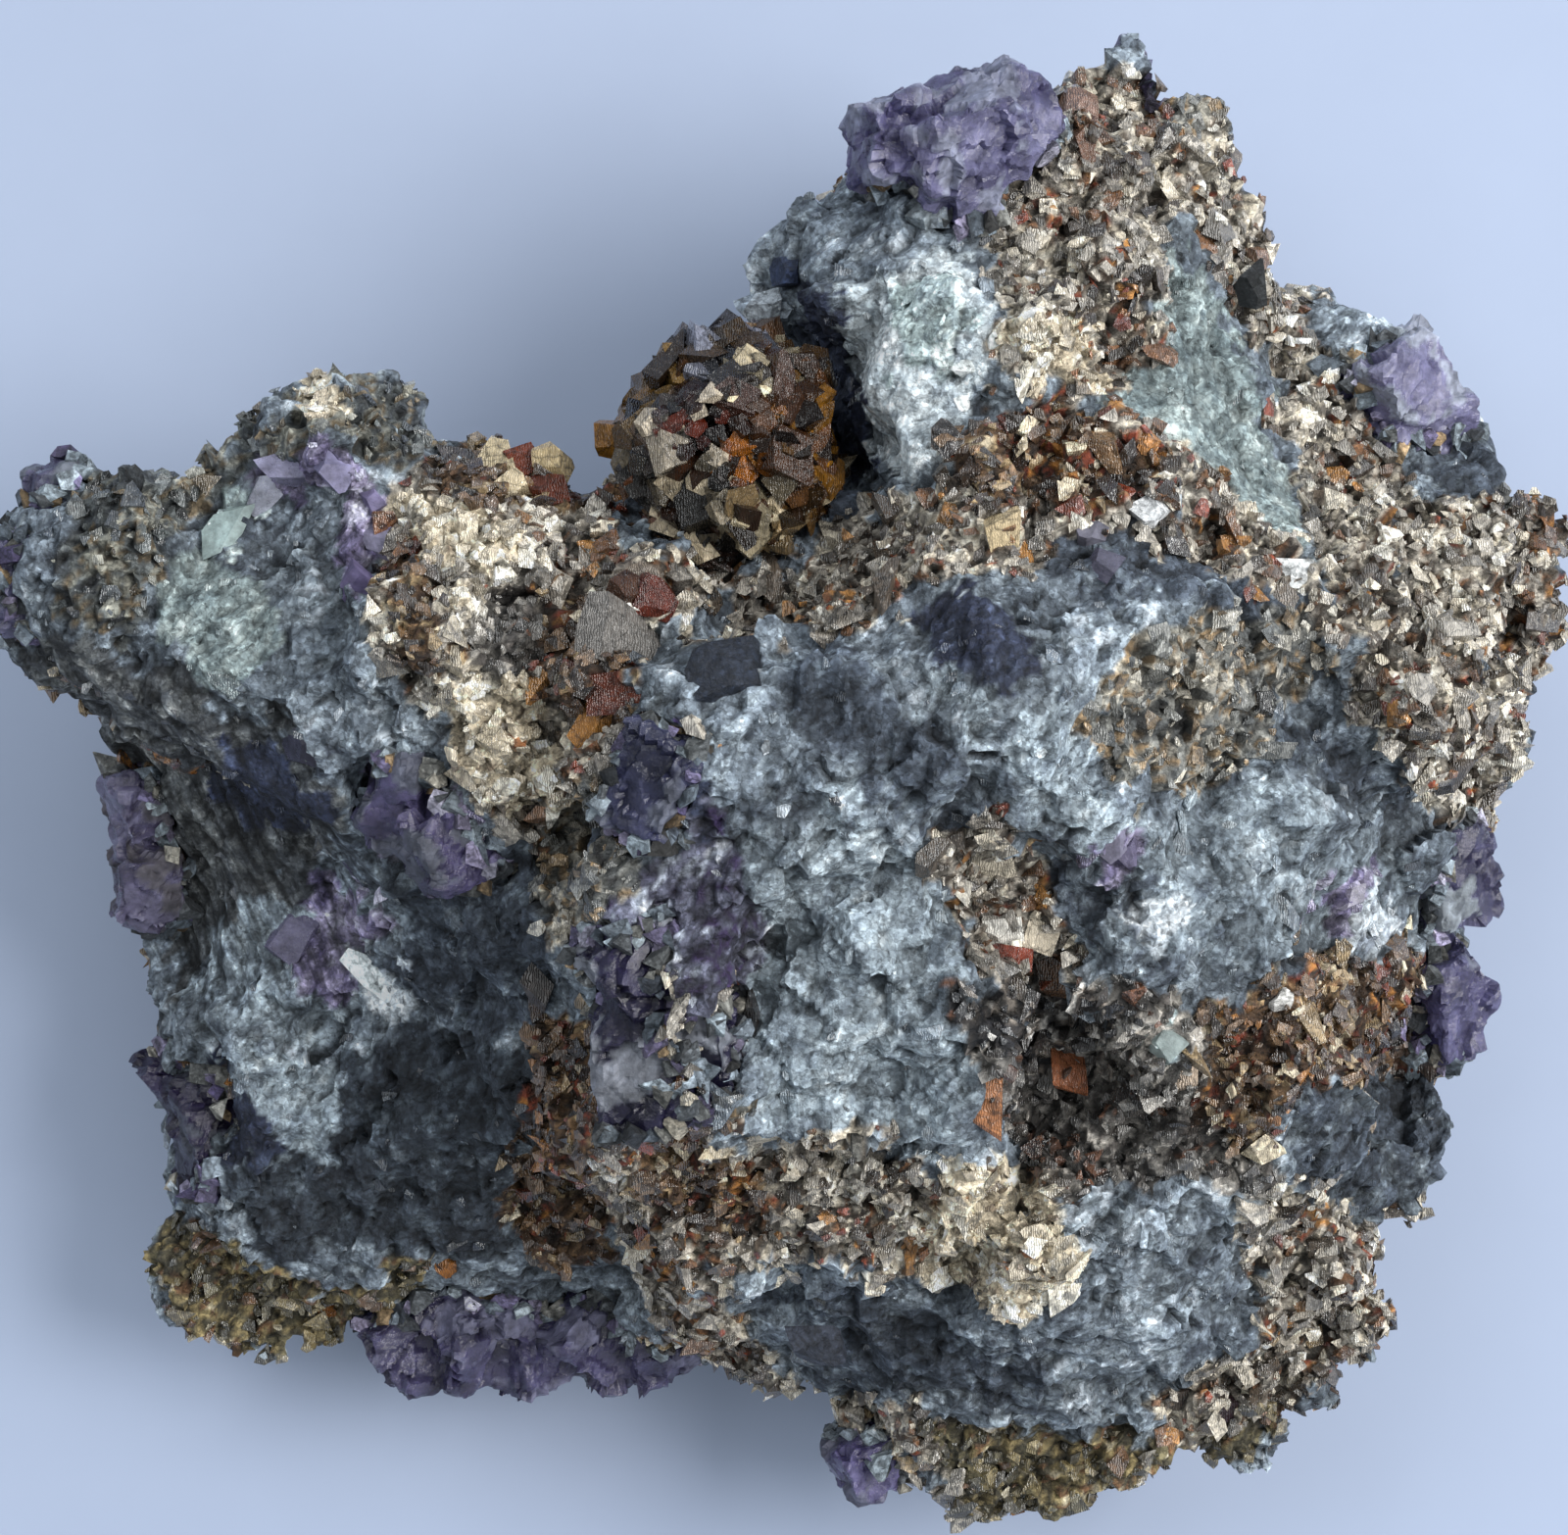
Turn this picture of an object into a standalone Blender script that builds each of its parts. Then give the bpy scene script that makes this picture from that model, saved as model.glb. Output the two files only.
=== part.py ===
"""Sphalerite with fluorite: a broken lump of ore with crystals grown in and on it.

The lump rests on a flat break. Looking down on it, +X is to the right, +Y is away from
the viewer and +Z is up. The origin is on the table, in the middle of the flat break.
Lengths are in millimetres until MM turns them into metres.

A plan place (x, y) is where a point is seen from straight above, from EYE_HEIGHT, on the
level SIGHT_LEVEL. The function placed moves it along that line of sight to its height.
"""

import math
import random

import bmesh
import bpy
import numpy as np
from mathutils import Euler, Matrix, Vector, geometry, noise
from mathutils.bvhtree import BVHTree

MM = 0.001
EYE_HEIGHT = 420.0
SIGHT_LEVEL = 45.0
FACET = 3.6
SPLIT_ROUNDS = 9
RELAX_ROUNDS = 12
TOUCH = 1e-3
VOXEL = 1.25
LUMP_TRIANGLES = 5000
ROCK_TRIANGLES = 7700
BASE_SUNK = 1.2
POCKET_GAP = 0.4
SEED = 7

# The broken edge of the lump as seen from above, clockwise from the left tip.
OUTLINE = [
    (-78.2, 23.0, 50), (-75.2, 31.6, 52), (-72.5, 32.2, 53), (-69.0, 30.5, 53),
    (-62.8, 31.1, 54), (-60.2, 33.5, 55), (-55.9, 36.8, 56), (-51.5, 40.2, 57),
    (-45.6, 41.9, 57), (-40.7, 40.4, 57), (-38.6, 36.2, 56), (-37.8, 32.6, 55),
    (-34.7, 31.6, 52), (-28.1, 32.9, 52), (-19.7, 30.1, 51), (-16.0, 34.0, 48),
    (-9.0, 36.0, 42), (-5.5, 42.0, 38), (-4.0, 47.5, 36), (0.0, 48.4, 38),
    (1.6, 51.0, 44), (4.2, 52.0, 48), (6.0, 56.6, 52), (8.4, 62.8, 55),
    (8.0, 66.5, 56), (14.0, 68.0, 57), (18.5, 69.0, 56), (24.0, 69.5, 52),
    (28.4, 74.8, 50), (36.5, 75.6, 48), (41.0, 71.0, 47), (46.5, 67.6, 46),
    (50.0, 63.4, 45), (52.2, 58.3, 44), (54.8, 52.4, 43), (56.0, 49.5, 42),
    (61.4, 44.0, 40), (65.2, 41.2, 39), (69.5, 36.6, 38), (75.2, 33.0, 38),
    (79.8, 30.2, 38), (84.5, 27.0, 38), (85.2, 20.7, 38), (84.6, 13.5, 38),
    (83.2, 6.8, 38), (79.7, 1.3, 36), (76.2, -2.4, 34), (74.0, -6.4, 31),
    (70.5, -14.0, 28), (70.0, -20.5, 28), (70.0, -27.0, 29), (73.9, -34.8, 32),
    (73.1, -41.0, 33), (69.4, -44.2, 34), (63.5, -47.2, 34), (64.9, -52.3, 33),
    (63.7, -57.2, 32), (60.1, -63.0, 31), (54.5, -67.0, 30), (51.3, -72.3, 29),
    (49.1, -74.0, 29), (40.9, -74.2, 30), (35.7, -77.0, 29), (30.5, -79.0, 28),
    (22.1, -79.5, 28), (17.5, -77.8, 28), (13.0, -74.5, 27), (9.1, -68.4, 27),
    (7.0, -66.8, 27), (0.2, -70.4, 25), (-1.8, -68.4, 24), (-7.2, -64.0, 23),
    (-10.1, -61.0, 20), (-15.0, -61.0, 18), (-21.0, -62.9, 17), (-26.0, -61.5, 16),
    (-34.0, -60.0, 16), (-41.5, -60.0, 18), (-47.2, -63.0, 20), (-54.6, -63.2, 20),
    (-60.5, -59.2, 20), (-63.1, -53.0, 20), (-61.3, -49.5, 20), (-62.8, -46.0, 21),
    (-64.6, -41.2, 22), (-65.6, -33.1, 22), (-65.5, -27.8, 23), (-67.7, -21.2, 24),
    (-70.2, -18.4, 25), (-67.9, -10.2, 28), (-68.5, -6.0, 30), (-74.5, -1.6, 32),
    (-75.8, 2.1, 36), (-75.4, 9.4, 42), (-78.9, 14.3, 48),
]

# Corners of the broken faces on top, grouped by the part of the lump they shape.
TOP_CORNERS = {
    "left lobe": [
        (-45, 38.5, 60), (-50, 34, 60), (-55, 30, 58), (-69, 22, 57), (-74, 26, 55),
        (-78, 18, 53), (-74, 14, 56), (-67, 12.5, 59), (-58, 9, 63), (-51, 4.5, 63),
        (-46, -1, 61), (-60, 18, 60), (-50, 16, 62), (-40, 22, 62), (-40, 33, 60),
        (-36, 28, 59), (-37, 14, 66), (-28, 22, 63), (-26, 29, 56), (-20, 26, 57),
        (-33, 6, 67), (-25, 12, 68), (-24, 2, 65), (-20, -8, 61), (-26, -12, 61),
        (-30, -2, 66),
    ],
    "hollow on the left": [
        (-69, 4, 42), (-60, -2, 40), (-50, -5, 44), (-64, -7, 35), (-60, -15, 33),
        (-50, -15, 38), (-44, -9, 47), (-40, -4, 58), (-34, -6, 60), (-40, -17, 46),
        (-34, -16, 53), (-30, -13, 61), (-56, -27, 34), (-47, -28, 37), (-38, -29, 44),
        (-30, -28, 52), (-26, -22, 60), (-22, -30, 58),
    ],
    "foot of the left side": [
        (-55, -30, 33), (-51, -40, 35), (-40, -38, 44), (-30, -42, 47), (-22, -42, 49),
        (-20, -49, 41), (-30, -50, 37), (-40, -52, 31), (-50, -51, 27), (-57, -45, 26),
        (-60, -37, 24), (-61, -28, 26), (-62, -20, 28), (-55, -55, 22), (-46, -57, 21),
        (-38, -56, 21), (-28, -56.5, 22), (-18, -56, 23),
    ],
    "middle ridge and boss": [
        (-19, 13, 74), (-10, 14, 77), (-2, 12.5, 79), (-1, 17, 71), (-12, 8, 77),
        (-16, 2, 72), (-4, 2, 79), (-15, -5, 72), (-18.5, -14, 70), (-19, -22, 68),
        (-19, -32, 66), (-16, -36, 65), (-4, -36, 67), (-4, -22, 73), (-10, -15, 72),
        (0, -9, 77), (6, -27, 73), (10, -37, 67), (19, -36, 65), (19, -26, 71),
        (16, -17, 74), (14, -9, 76), (20, -9, 71), (22, -15, 66), (25, -21, 62),
        (27, -27, 59), (30, -33, 56), (31, -12, 73), (35, -19, 69), (38, -27, 65),
    ],
    "upper right of the middle": [
        (10, 10, 79), (20, 14, 80), (30, 16, 77), (25, 2, 80), (10, -2, 78),
        (40, 8, 73), (35, -8, 74), (50, 14, 66), (50, 2, 66), (45, -12, 69),
        (60, -2, 59), (60, -15, 56), (67, -12, 46), (45, -20, 65), (55, -22, 58),
        (66, -26, 42),
    ],
    "floor of the notch": [
        (8, 21, 70), (6, 28, 55), (-10, 22, 62), (-18, 18, 66), (-5, 30, 50),
        (-12, 31, 48), (5, 36, 36), (3, 43, 33), (7, 29.5, 46), (0, 38, 36),
    ],
    "right lobe": [
        (4.5, 48, 60), (6.5, 38, 65), (8.8, 29.5, 66), (9, 62, 60), (15, 64, 60),
        (20, 57, 62), (14, 51, 64), (20, 43, 67), (20, 31, 71), (14, 29, 69),
        (30, 65, 53), (35, 56, 57), (30, 46, 64), (30, 34, 69), (38, 48, 59),
        (45, 58, 49), (50, 48, 49), (43, 38, 60), (50, 28, 60), (40, 24, 68),
        (53, 40, 52), (60, 35, 46), (65, 28, 45), (60, 22, 54), (72, 22, 44),
        (68, 10, 50), (75, 14, 42), (60, 10, 58), (70, 0, 44),
    ],
    "ledge in front": [
        (-18, -39, 54), (-18, -46, 50), (-10, -51, 47), (-8, -39, 55), (0, -39.5, 55),
        (0, -51, 50), (10, -40, 56), (20, -40, 56), (15, -51, 52), (-2, -58, 35),
        (6, -61, 38), (20, -65, 37), (20, -53, 50), (30, -47, 55), (32, -56, 48),
        (32, -67, 37), (40, -34, 60), (40, -42, 57), (40, -53, 50), (42, -64, 38),
        (50, -32, 58), (50, -45, 50), (52, -57, 40), (60, -35, 48), (57, -51, 40),
        (65, -37, 40),
    ],
}

# The flat break that the lump rests on.
BASE = [
    (-33, 10), (-20, 17), (-4, 18), (14, 24), (30, 19), (38, 3), (35, -16),
    (22, -31), (2, -34), (-20, -29), (-33, -15),
]

# The sides below the edge: how far in and how far down each ring of corners lies.
SIDE_RINGS = [(0.985, 0.70), (0.93, 0.38), (0.77, 0.19)]
SIDE_STEP = 4
SIDE_WOBBLE = 0.025
SIDE_HEIGHTS = (0.85, 1.15)
LOWEST_SIDE = 5.5

# Flat breaks at random: width, depth and slope of each size of break.
BREAKS = [(24.0, 1.5, 0.20), (10.0, 0.8, 0.26)]
TILT_KEY = 97.0
STEP_KEY = 53.0

# Grains of sphalerite that stand out of the brown areas: area corners, count, size.
GRAIN_AREAS = {
    "rim of the notch": ([(-35, 31), (-17, 33), (-17, 28), (-35, 27)], 12, 4.8),
    "left brown band": ([(-42, 20), (-20, 24), (-18, 2), (-22, -8), (-31, 4)], 14, 4.8),
    "below the knob": ([(-16, 22), (2, 24), (1, 16), (-14, 16)], 6, 4.8),
    "right of the notch": ([(10, 30), (38, 34), (42, 20), (14, 20)], 9, 4.8),
    "right lobe": ([(16, 62), (34, 66), (38, 50), (24, 38), (14, 46)], 10, 5.4),
    "right edge": ([(52, 30), (74, 24), (72, 2), (56, 6)], 14, 5.2),
    "middle right": ([(22, -12), (32, -14), (46, -26), (34, -38), (26, -28)], 9, 5.2),
    "front band": ([(-22, -30), (-16, -40), (20, -42), (28, -52), (-8, -52)], 15, 5.2),
    "front right": ([(30, -64), (56, -50), (60, -58), (44, -70)], 9, 5.2),
    "left peak": ([(-52, 36), (-40, 39), (-38, 30), (-50, 32)], 5, 4.8),
}

CUBE_NORMALS = [(1, 0, 0), (-1, 0, 0), (0, 1, 0), (0, -1, 0), (0, 0, 1), (0, 0, -1)]
CORNER_NORMALS = [(a, b, c) for a in (-1, 1) for b in (-1, 1) for c in (-1, 1)]
TETRA_NORMALS = [n for n in CORNER_NORMALS if n[0] * n[1] * n[2] > 0]
TETRA_TIPS = [n for n in CORNER_NORMALS if n[0] * n[1] * n[2] < 0]

# Fluorite: each crystal is (plan x, plan y, height, half sizes, turn in degrees).
FLUORITE = {
    "fluorite_top": [
        (12.0, 64.0, 59, (4.5, 4.0, 4.5), (10, 20, 15)),
        (17.5, 63.3, 60, (6.0, 5.0, 5.0), (35, 10, 30)),
        (22.0, 65.3, 58, (5.0, 4.5, 4.5), (20, 30, 50)),
        (19.0, 60.0, 60, (2.8, 4.6, 3.2), (30, 20, 10)),
    ],
    "fluorite_left_tip": [
        (-76.8, 18.9, 49, (4.2, 5.2, 4.5), (15, 25, 10)),
        (-74.0, 27.0, 50, (2.5, 3.7, 3.4), (20, 15, 20)),
    ],
    "fluorite_left_flank": [
        (-66.2, -4.2, 30, (2.8, 3.8, 3.6), (10, 25, 20)),
        (-65.0, -12.0, 27, (3.4, 4.6, 3.8), (30, 15, 5)),
    ],
    "fluorite_hollow": [
        (-38.5, -3.5, 57, (3.6, 5.2, 3.4), (25, 10, -30)),
        (-34.0, -8.0, 58, (4.8, 4.2, 3.6), (15, 30, 25)),
    ],
    "fluorite_boss": [
        (-12.0, -29.5, 66.5, (6.8, 6.2, 4.4), (8, -12, 10)),
        (-14.5, -20.5, 69, (4.8, 4.8, 4.2), (20, 10, 40)),
    ],
    "fluorite_ridge": [
        (-13.0, -1.5, 73.5, (3.6, 5.2, 3.4), (15, -20, -25)),
    ],
    "fluorite_front_ledge": [
        (-38.0, -58.5, 19, (4.6, 5.2, 5.0), (20, 10, 35)),
        (-31.0, -57.5, 20, (4.8, 5.0, 4.6), (30, 25, 5)),
        (-25.5, -59.5, 18, (4.6, 4.6, 4.4), (10, 35, 25)),
        (-19.0, -57.5, 19, (5.2, 5.2, 4.8), (25, 15, 50)),
        (-12.5, -58.0, 20, (4.4, 4.0, 4.2), (35, 10, 15)),
    ],
    "fluorite_right_upper": [
        (66.8, -11.0, 34, (4.2, 5.4, 4.6), (15, 30, 20)),
    ],
    "fluorite_right_lower": [
        (67.8, -22.6, 30, (3.4, 4.4, 4.0), (25, 15, 30)),
        (67.4, -27.6, 30, (2.8, 3.0, 3.2), (10, 35, 10)),
    ],
    "fluorite_shoulder": [
        (62.5, 39.0, 41, (4.8, 4.6, 4.4), (20, 25, 40)),
        (66.5, 35.5, 39, (3.6, 3.6, 3.4), (35, 10, 10)),
    ],
    "fluorite_lower_left": [
        (-57.0, -37.0, 25, (5.2, 6.8, 4.0), (10, 25, 15)),
        (-61.5, -31.5, 22, (3.4, 3.8, 3.4), (30, 10, 40)),
    ],
    "fluorite_front": [
        (9.0, -70.5, 24, (4.2, 3.4, 3.6), (25, 15, 30)),
    ],
}

# The upright knob of sphalerite in the notch: plan place, height, size of its core.
KNOB_CENTRE = (-5.2, 32.4, 54)
KNOB_HALF = (9.4, 10.8, 11.0)
KNOB_CORE = 0.84
KNOB_CORNER_CUTS = (0.78, 0.88)
KNOB_TURN = (20, -15, 25)
KNOB_GRAINS = 24
KNOB_TOP = 0.9
KNOB_REACH_DOWN = 1.3
KNOB_GRAIN_OUT = 0.76
KNOB_GRAIN_SIZE = 6.6

# Corner cuts of the crystals, as shares of the distance that leaves the corner whole.
FLUORITE_CORNER_CUTS = (0.72, 0.95)
GRAIN_FACES = (0.40, 0.52)
GRAIN_TIPS = (0.44, 0.54)
GRAIN_SPREAD = (0.8, 1.3)
GRAIN_SUNK = 0.16
GRAIN_SPACING = 0.8
TRIES_PER_GRAIN = 40

COLOURS = {
    "rock": (0.22, 0.23, 0.25, 0.6),
    "sphalerite": (0.26, 0.13, 0.05, 0.25),
    "fluorite": (0.26, 0.19, 0.42, 0.3),
}


def placed(x, y, z):
    """The real place, in millimetres, of a point of height z seen at the plan place."""
    spread = (EYE_HEIGHT - z) / (EYE_HEIGHT - SIGHT_LEVEL)
    return Vector((x * spread, y * spread, z))


def clear_scene():
    for old in list(bpy.data.objects):
        bpy.data.objects.remove(old)


def material(name):
    made = bpy.data.materials.new(name)
    made.use_nodes = True
    red, green, blue, roughness = COLOURS[name]
    shader = made.node_tree.nodes["Principled BSDF"]
    shader.inputs["Base Color"].default_value = (red, green, blue, 1.0)
    shader.inputs["Roughness"].default_value = roughness
    made.diffuse_color = (red, green, blue, 1.0)
    return made


def add_object(name, bm, slot):
    """A new object from a mesh in millimetres."""
    bmesh.ops.scale(bm, vec=(MM, MM, MM), verts=bm.verts)
    mesh = bpy.data.meshes.new(name)
    bm.to_mesh(mesh)
    bm.free()
    if slot:
        mesh.materials.append(slot)
    made = bpy.data.objects.new(name, mesh)
    bpy.context.scene.collection.objects.link(made)
    return made


def combine(target, tool, operation):
    """Joins tool to target, or cuts it away, and removes it."""
    modifier = target.modifiers.new("combine", "BOOLEAN")
    modifier.operation = operation
    modifier.use_self = True
    modifier.object = tool
    graph = bpy.context.evaluated_depsgraph_get()
    mesh = bpy.data.meshes.new_from_object(target.evaluated_get(graph))
    target.modifiers.clear()
    target.data = mesh
    bpy.data.objects.remove(tool)


def keep_largest_body(target):
    """Drops the crumbs that cuts have left loose."""
    bm = bmesh.new()
    bm.from_mesh(target.data)
    left = set(bm.verts)
    bodies = []
    while left:
        reached = {left.pop()}
        growing = list(reached)
        while growing:
            near = {e.other_vert(v) for v in growing for e in v.link_edges} & left
            left -= near
            reached |= near
            growing = list(near)
        bodies.append(reached)
    bodies.sort(key=len)
    crumbs = [vert for body in bodies[:-1] for vert in body]
    bmesh.ops.delete(bm, geom=crumbs, context="VERTS")
    bm.to_mesh(target.data)
    bm.free()


def thin_out(target, most):
    """Merges the slivers that cuts leave in flat faces, down to a number of triangles."""
    target.data.calc_loop_triangles()
    decimate = target.modifiers.new("decimate", "DECIMATE")
    decimate.ratio = min(1.0, most / len(target.data.loop_triangles))


def triangulated(points, loops):
    """Triangles over the plan of points, with each loop of their indices kept as edges."""
    plan = [Vector((p.x, p.y)) for p in points]
    edges = [(loop[i - 1], loop[i]) for loop in loops for i in range(len(loop))]
    made = geometry.delaunay_2d_cdt(plan, edges, [], 1, 1e-5)
    source = [found[0] for found in made[3]]
    return [[source[i] for i in face] for face in made[2]]


def side_corners(outline, random_source):
    """Corners of the sides and underside, in rings that draw in towards the base."""
    corners = []
    for ring, (inward, share) in enumerate(SIDE_RINGS):
        for i in range(ring, len(outline), SIDE_STEP):
            place = (outline[i - 2] + outline[i - 1] + outline[i]) / 3
            reach = inward + random_source.uniform(-SIDE_WOBBLE, SIDE_WOBBLE)
            height = max(LOWEST_SIDE, place.z * share * random_source.uniform(*SIDE_HEIGHTS))
            corners.append(Vector((place.x * reach, place.y * reach, height)))
    return corners


def coarse_lump():
    """The lump as its large flat breaks: a top and an underside that share the edge."""
    random_source = random.Random(SEED)
    outline = [placed(*corner) for corner in OUTLINE]
    count = len(outline)
    top = [placed(*corner) for group in TOP_CORNERS.values() for corner in group]
    base = [Vector((x, y, -BASE_SUNK)) for x, y in BASE]
    sides = side_corners(outline, random_source)
    edge_loop = list(range(count))
    base_loop = list(range(count, count + len(base)))
    upper = triangulated(outline + top, [edge_loop])
    lower = triangulated(outline + base + sides, [edge_loop, base_loop])
    # A corner of the edge that both sides would close with one triangle has no thickness.
    flat = {frozenset(face) for face in upper} & {frozenset(face) for face in lower}
    bm = bmesh.new()
    rim = [bm.verts.new(p) for p in outline]
    top_verts = rim + [bm.verts.new(p) for p in top]
    low_verts = rim + [bm.verts.new(p) for p in base + sides]
    for verts, faces in ((top_verts, upper), (low_verts, lower)):
        for face in faces:
            if frozenset(face) not in flat or max(face) >= count:
                bm.faces.new([verts[i] for i in face])
    bmesh.ops.delete(bm, geom=[v for v in bm.verts if not v.link_faces], context="VERTS")
    bmesh.ops.recalc_face_normals(bm, faces=bm.faces)
    return bm


def on_base(vert):
    return vert.co.z < TOUCH - BASE_SUNK


def split_long_edges(bm, longest):
    """Halves each edge over the given length until none is left, apart from the base."""
    for _ in range(SPLIT_ROUNDS):
        flat = {f for f in bm.faces if all(on_base(v) for v in f.verts)}
        found = [
            e
            for e in bm.edges
            if e.calc_length() > longest and not flat.issuperset(e.link_faces)
        ]
        if not found:
            return
        bmesh.ops.subdivide_edges(bm, edges=found, cuts=1)
        bmesh.ops.triangulate(bm, faces=bm.faces)


def broken(place, width, depth, slope):
    """How far a point is moved by the flat break it lies in, tilted and set at random."""
    centre = noise.voronoi(place / width)[1][0]
    cell = noise.cell_vector(centre * TILT_KEY)
    tilt = Vector([2 * c - 1 for c in cell])
    step = 2 * noise.cell(centre * STEP_KEY) - 1
    return depth * step + slope * tilt.dot(place - centre * width)


def roughen(bm):
    """Moves each point along its normal by the random breaks. The base stays flat."""
    bm.normal_update()
    moves = {}
    for vert in bm.verts:
        if not on_base(vert):
            moves[vert] = vert.normal * sum(broken(vert.co, *size) for size in BREAKS)
    for vert, move in moves.items():
        vert.co += move


def evened(bm):
    """The lump again in triangles that suit its shape, cut flat where it rests."""
    made = add_object("evened", bm, None)
    remesh = made.modifiers.new("remesh", "REMESH")
    remesh.mode = "VOXEL"
    remesh.voxel_size = VOXEL * MM
    graph = bpy.context.evaluated_depsgraph_get()
    fine = sum(len(f.vertices) - 2 for f in made.evaluated_get(graph).data.polygons)
    decimate = made.modifiers.new("decimate", "DECIMATE")
    decimate.ratio = LUMP_TRIANGLES / fine
    graph = bpy.context.evaluated_depsgraph_get()
    even = bmesh.new()
    even.from_mesh(made.evaluated_get(graph).to_mesh())
    bpy.data.objects.remove(made)
    bmesh.ops.scale(even, vec=(1 / MM, 1 / MM, 1 / MM), verts=even.verts)
    everything = even.verts[:] + even.edges[:] + even.faces[:]
    cut = bmesh.ops.bisect_plane(
        even, geom=everything, dist=TOUCH, plane_co=(0, 0, 0), plane_no=(0, 0, 1), clear_inner=True
    )
    edges = [g for g in cut["geom_cut"] if isinstance(g, bmesh.types.BMEdge)]
    bmesh.ops.triangle_fill(even, use_beauty=True, edges=edges, normal=(0, 0, -1))
    bmesh.ops.triangulate(even, faces=even.faces)
    relax_crossings(even)
    bmesh.ops.recalc_face_normals(even, faces=even.faces)
    return even


def relax_crossings(bm):
    """Smooths the few places where triangles of the surface pass through each other."""
    for _ in range(RELAX_ROUNDS):
        tree = BVHTree.FromBMesh(bm)
        bm.faces.ensure_lookup_table()
        crossing = set()
        for one, other in tree.overlap(tree):
            first, second = set(bm.faces[one].verts), set(bm.faces[other].verts)
            if not first & second:
                crossing |= first | second
        moving = [v for v in crossing if v.co.z > TOUCH]
        if not moving:
            return
        bmesh.ops.smooth_vert(
            bm, verts=moving, factor=0.5, use_axis_x=True, use_axis_y=True, use_axis_z=True
        )


def polyhedron(bm, normals, distances, frame):
    """Adds the convex crystal that planes at these distances bound, placed by frame."""
    facing = np.array([Vector(n).normalized() for n in normals])
    reach = np.array(distances)
    corners = []
    count = len(facing)
    for i in range(count):
        for j in range(i + 1, count):
            for k in range(j + 1, count):
                three = facing[[i, j, k]]
                if abs(np.linalg.det(three)) < 1e-4:
                    continue
                corner = np.linalg.solve(three, reach[[i, j, k]])
                if (facing @ corner <= reach + 1e-6).all():
                    corners.append(corner)
    verts = [bm.verts.new(frame @ Vector(corner)) for corner in corners]
    bmesh.ops.remove_doubles(bm, verts=verts, dist=TOUCH)
    verts = [v for v in verts if v.is_valid]
    hull = bmesh.ops.convex_hull(bm, input=verts, use_existing_faces=False)
    spare = [v for v in hull["geom_interior"] if isinstance(v, bmesh.types.BMVert)]
    bmesh.ops.delete(bm, geom=spare, context="VERTS")


def crystal_frame(place, turn):
    angles = Euler([math.radians(a) for a in turn])
    return Matrix.Translation(place) @ angles.to_matrix().to_4x4()


def fluorite_shape(crystal, grow):
    """Normals and distances of a cube with cleaved corners, each face moved out by grow."""
    half = crystal[3]
    random_source = random.Random(str(crystal[:3]))
    distances = []
    for normal in CUBE_NORMALS:
        side = sum(abs(n) * h for n, h in zip(normal, half))
        distances.append(side + grow)
    diagonal = sum(half) / math.sqrt(3)
    for _ in CORNER_NORMALS:
        distances.append(diagonal * random_source.uniform(*FLUORITE_CORNER_CUTS) + grow)
    return CUBE_NORMALS + CORNER_NORMALS, distances


def fluorite_mesh(crystals, grow):
    """One closed mesh for each crystal of a cluster, still overlapping."""
    meshes = []
    for crystal in crystals:
        bm = bmesh.new()
        normals, distances = fluorite_shape(crystal, grow)
        frame = crystal_frame(placed(*crystal[:3]), crystal[4])
        polyhedron(bm, normals, distances, frame)
        bmesh.ops.recalc_face_normals(bm, faces=bm.faces)
        meshes.append(bm)
    return meshes


def cluster(name, meshes, slot):
    """One object in which the meshes are joined."""
    first, *others = meshes
    made = add_object(name, first, slot)
    for number, bm in enumerate(others):
        combine(made, add_object(f"{name}_more_{number}", bm, slot), "UNION")
    return made


def sphalerite_grain(bm, place, size, random_source, grow=0.0):
    """A tetrahedral sphalerite crystal with its tips cut, turned at random."""
    flat = [size * random_source.uniform(*GRAIN_FACES) + grow for _ in TETRA_NORMALS]
    tips = [size * random_source.uniform(*GRAIN_TIPS) + grow for _ in TETRA_TIPS]
    turn = [random_source.uniform(0, 360) for _ in range(3)]
    normals = TETRA_NORMALS + TETRA_TIPS
    polyhedron(bm, normals, flat + tips, crystal_frame(place, turn))


def inside(corners, x, y):
    """Whether the plan place is in the area that the corners bound."""
    crossings = False
    for i, (x1, y1) in enumerate(corners):
        x0, y0 = corners[i - 1]
        if (y0 > y) != (y1 > y) and x < x0 + (y - y0) * (x1 - x0) / (y1 - y0):
            crossings = not crossings
    return crossings


def grain_places(corners, count, spacing, random_source):
    """Plan places at random in an area, no two closer than the spacing."""
    lows = [min(c[i] for c in corners) for i in (0, 1)]
    highs = [max(c[i] for c in corners) for i in (0, 1)]
    found = []
    for _ in range(count * TRIES_PER_GRAIN):
        x = random_source.uniform(lows[0], highs[0])
        y = random_source.uniform(lows[1], highs[1])
        free = all(math.hypot(x - a, y - b) > spacing for a, b in found)
        if free and inside(corners, x, y):
            found.append((x, y))
        if len(found) == count:
            break
    return found


def surface_grains(surface):
    """Sphalerite grains half sunk in the top of the lump, as one mesh."""
    random_source = random.Random(SEED)
    bm = bmesh.new()
    eye = Vector((0, 0, EYE_HEIGHT))
    for corners, count, size in GRAIN_AREAS.values():
        for x, y in grain_places(corners, count, size * GRAIN_SPACING, random_source):
            sight = placed(x, y, SIGHT_LEVEL) - eye
            hit, normal, _, _ = surface.ray_cast(eye, sight)
            own_size = size * random_source.uniform(*GRAIN_SPREAD)
            if hit:
                centre = hit - normal * own_size * GRAIN_SUNK
                sphalerite_grain(bm, centre, own_size, random_source)
    bmesh.ops.recalc_face_normals(bm, faces=bm.faces)
    return bm


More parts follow.
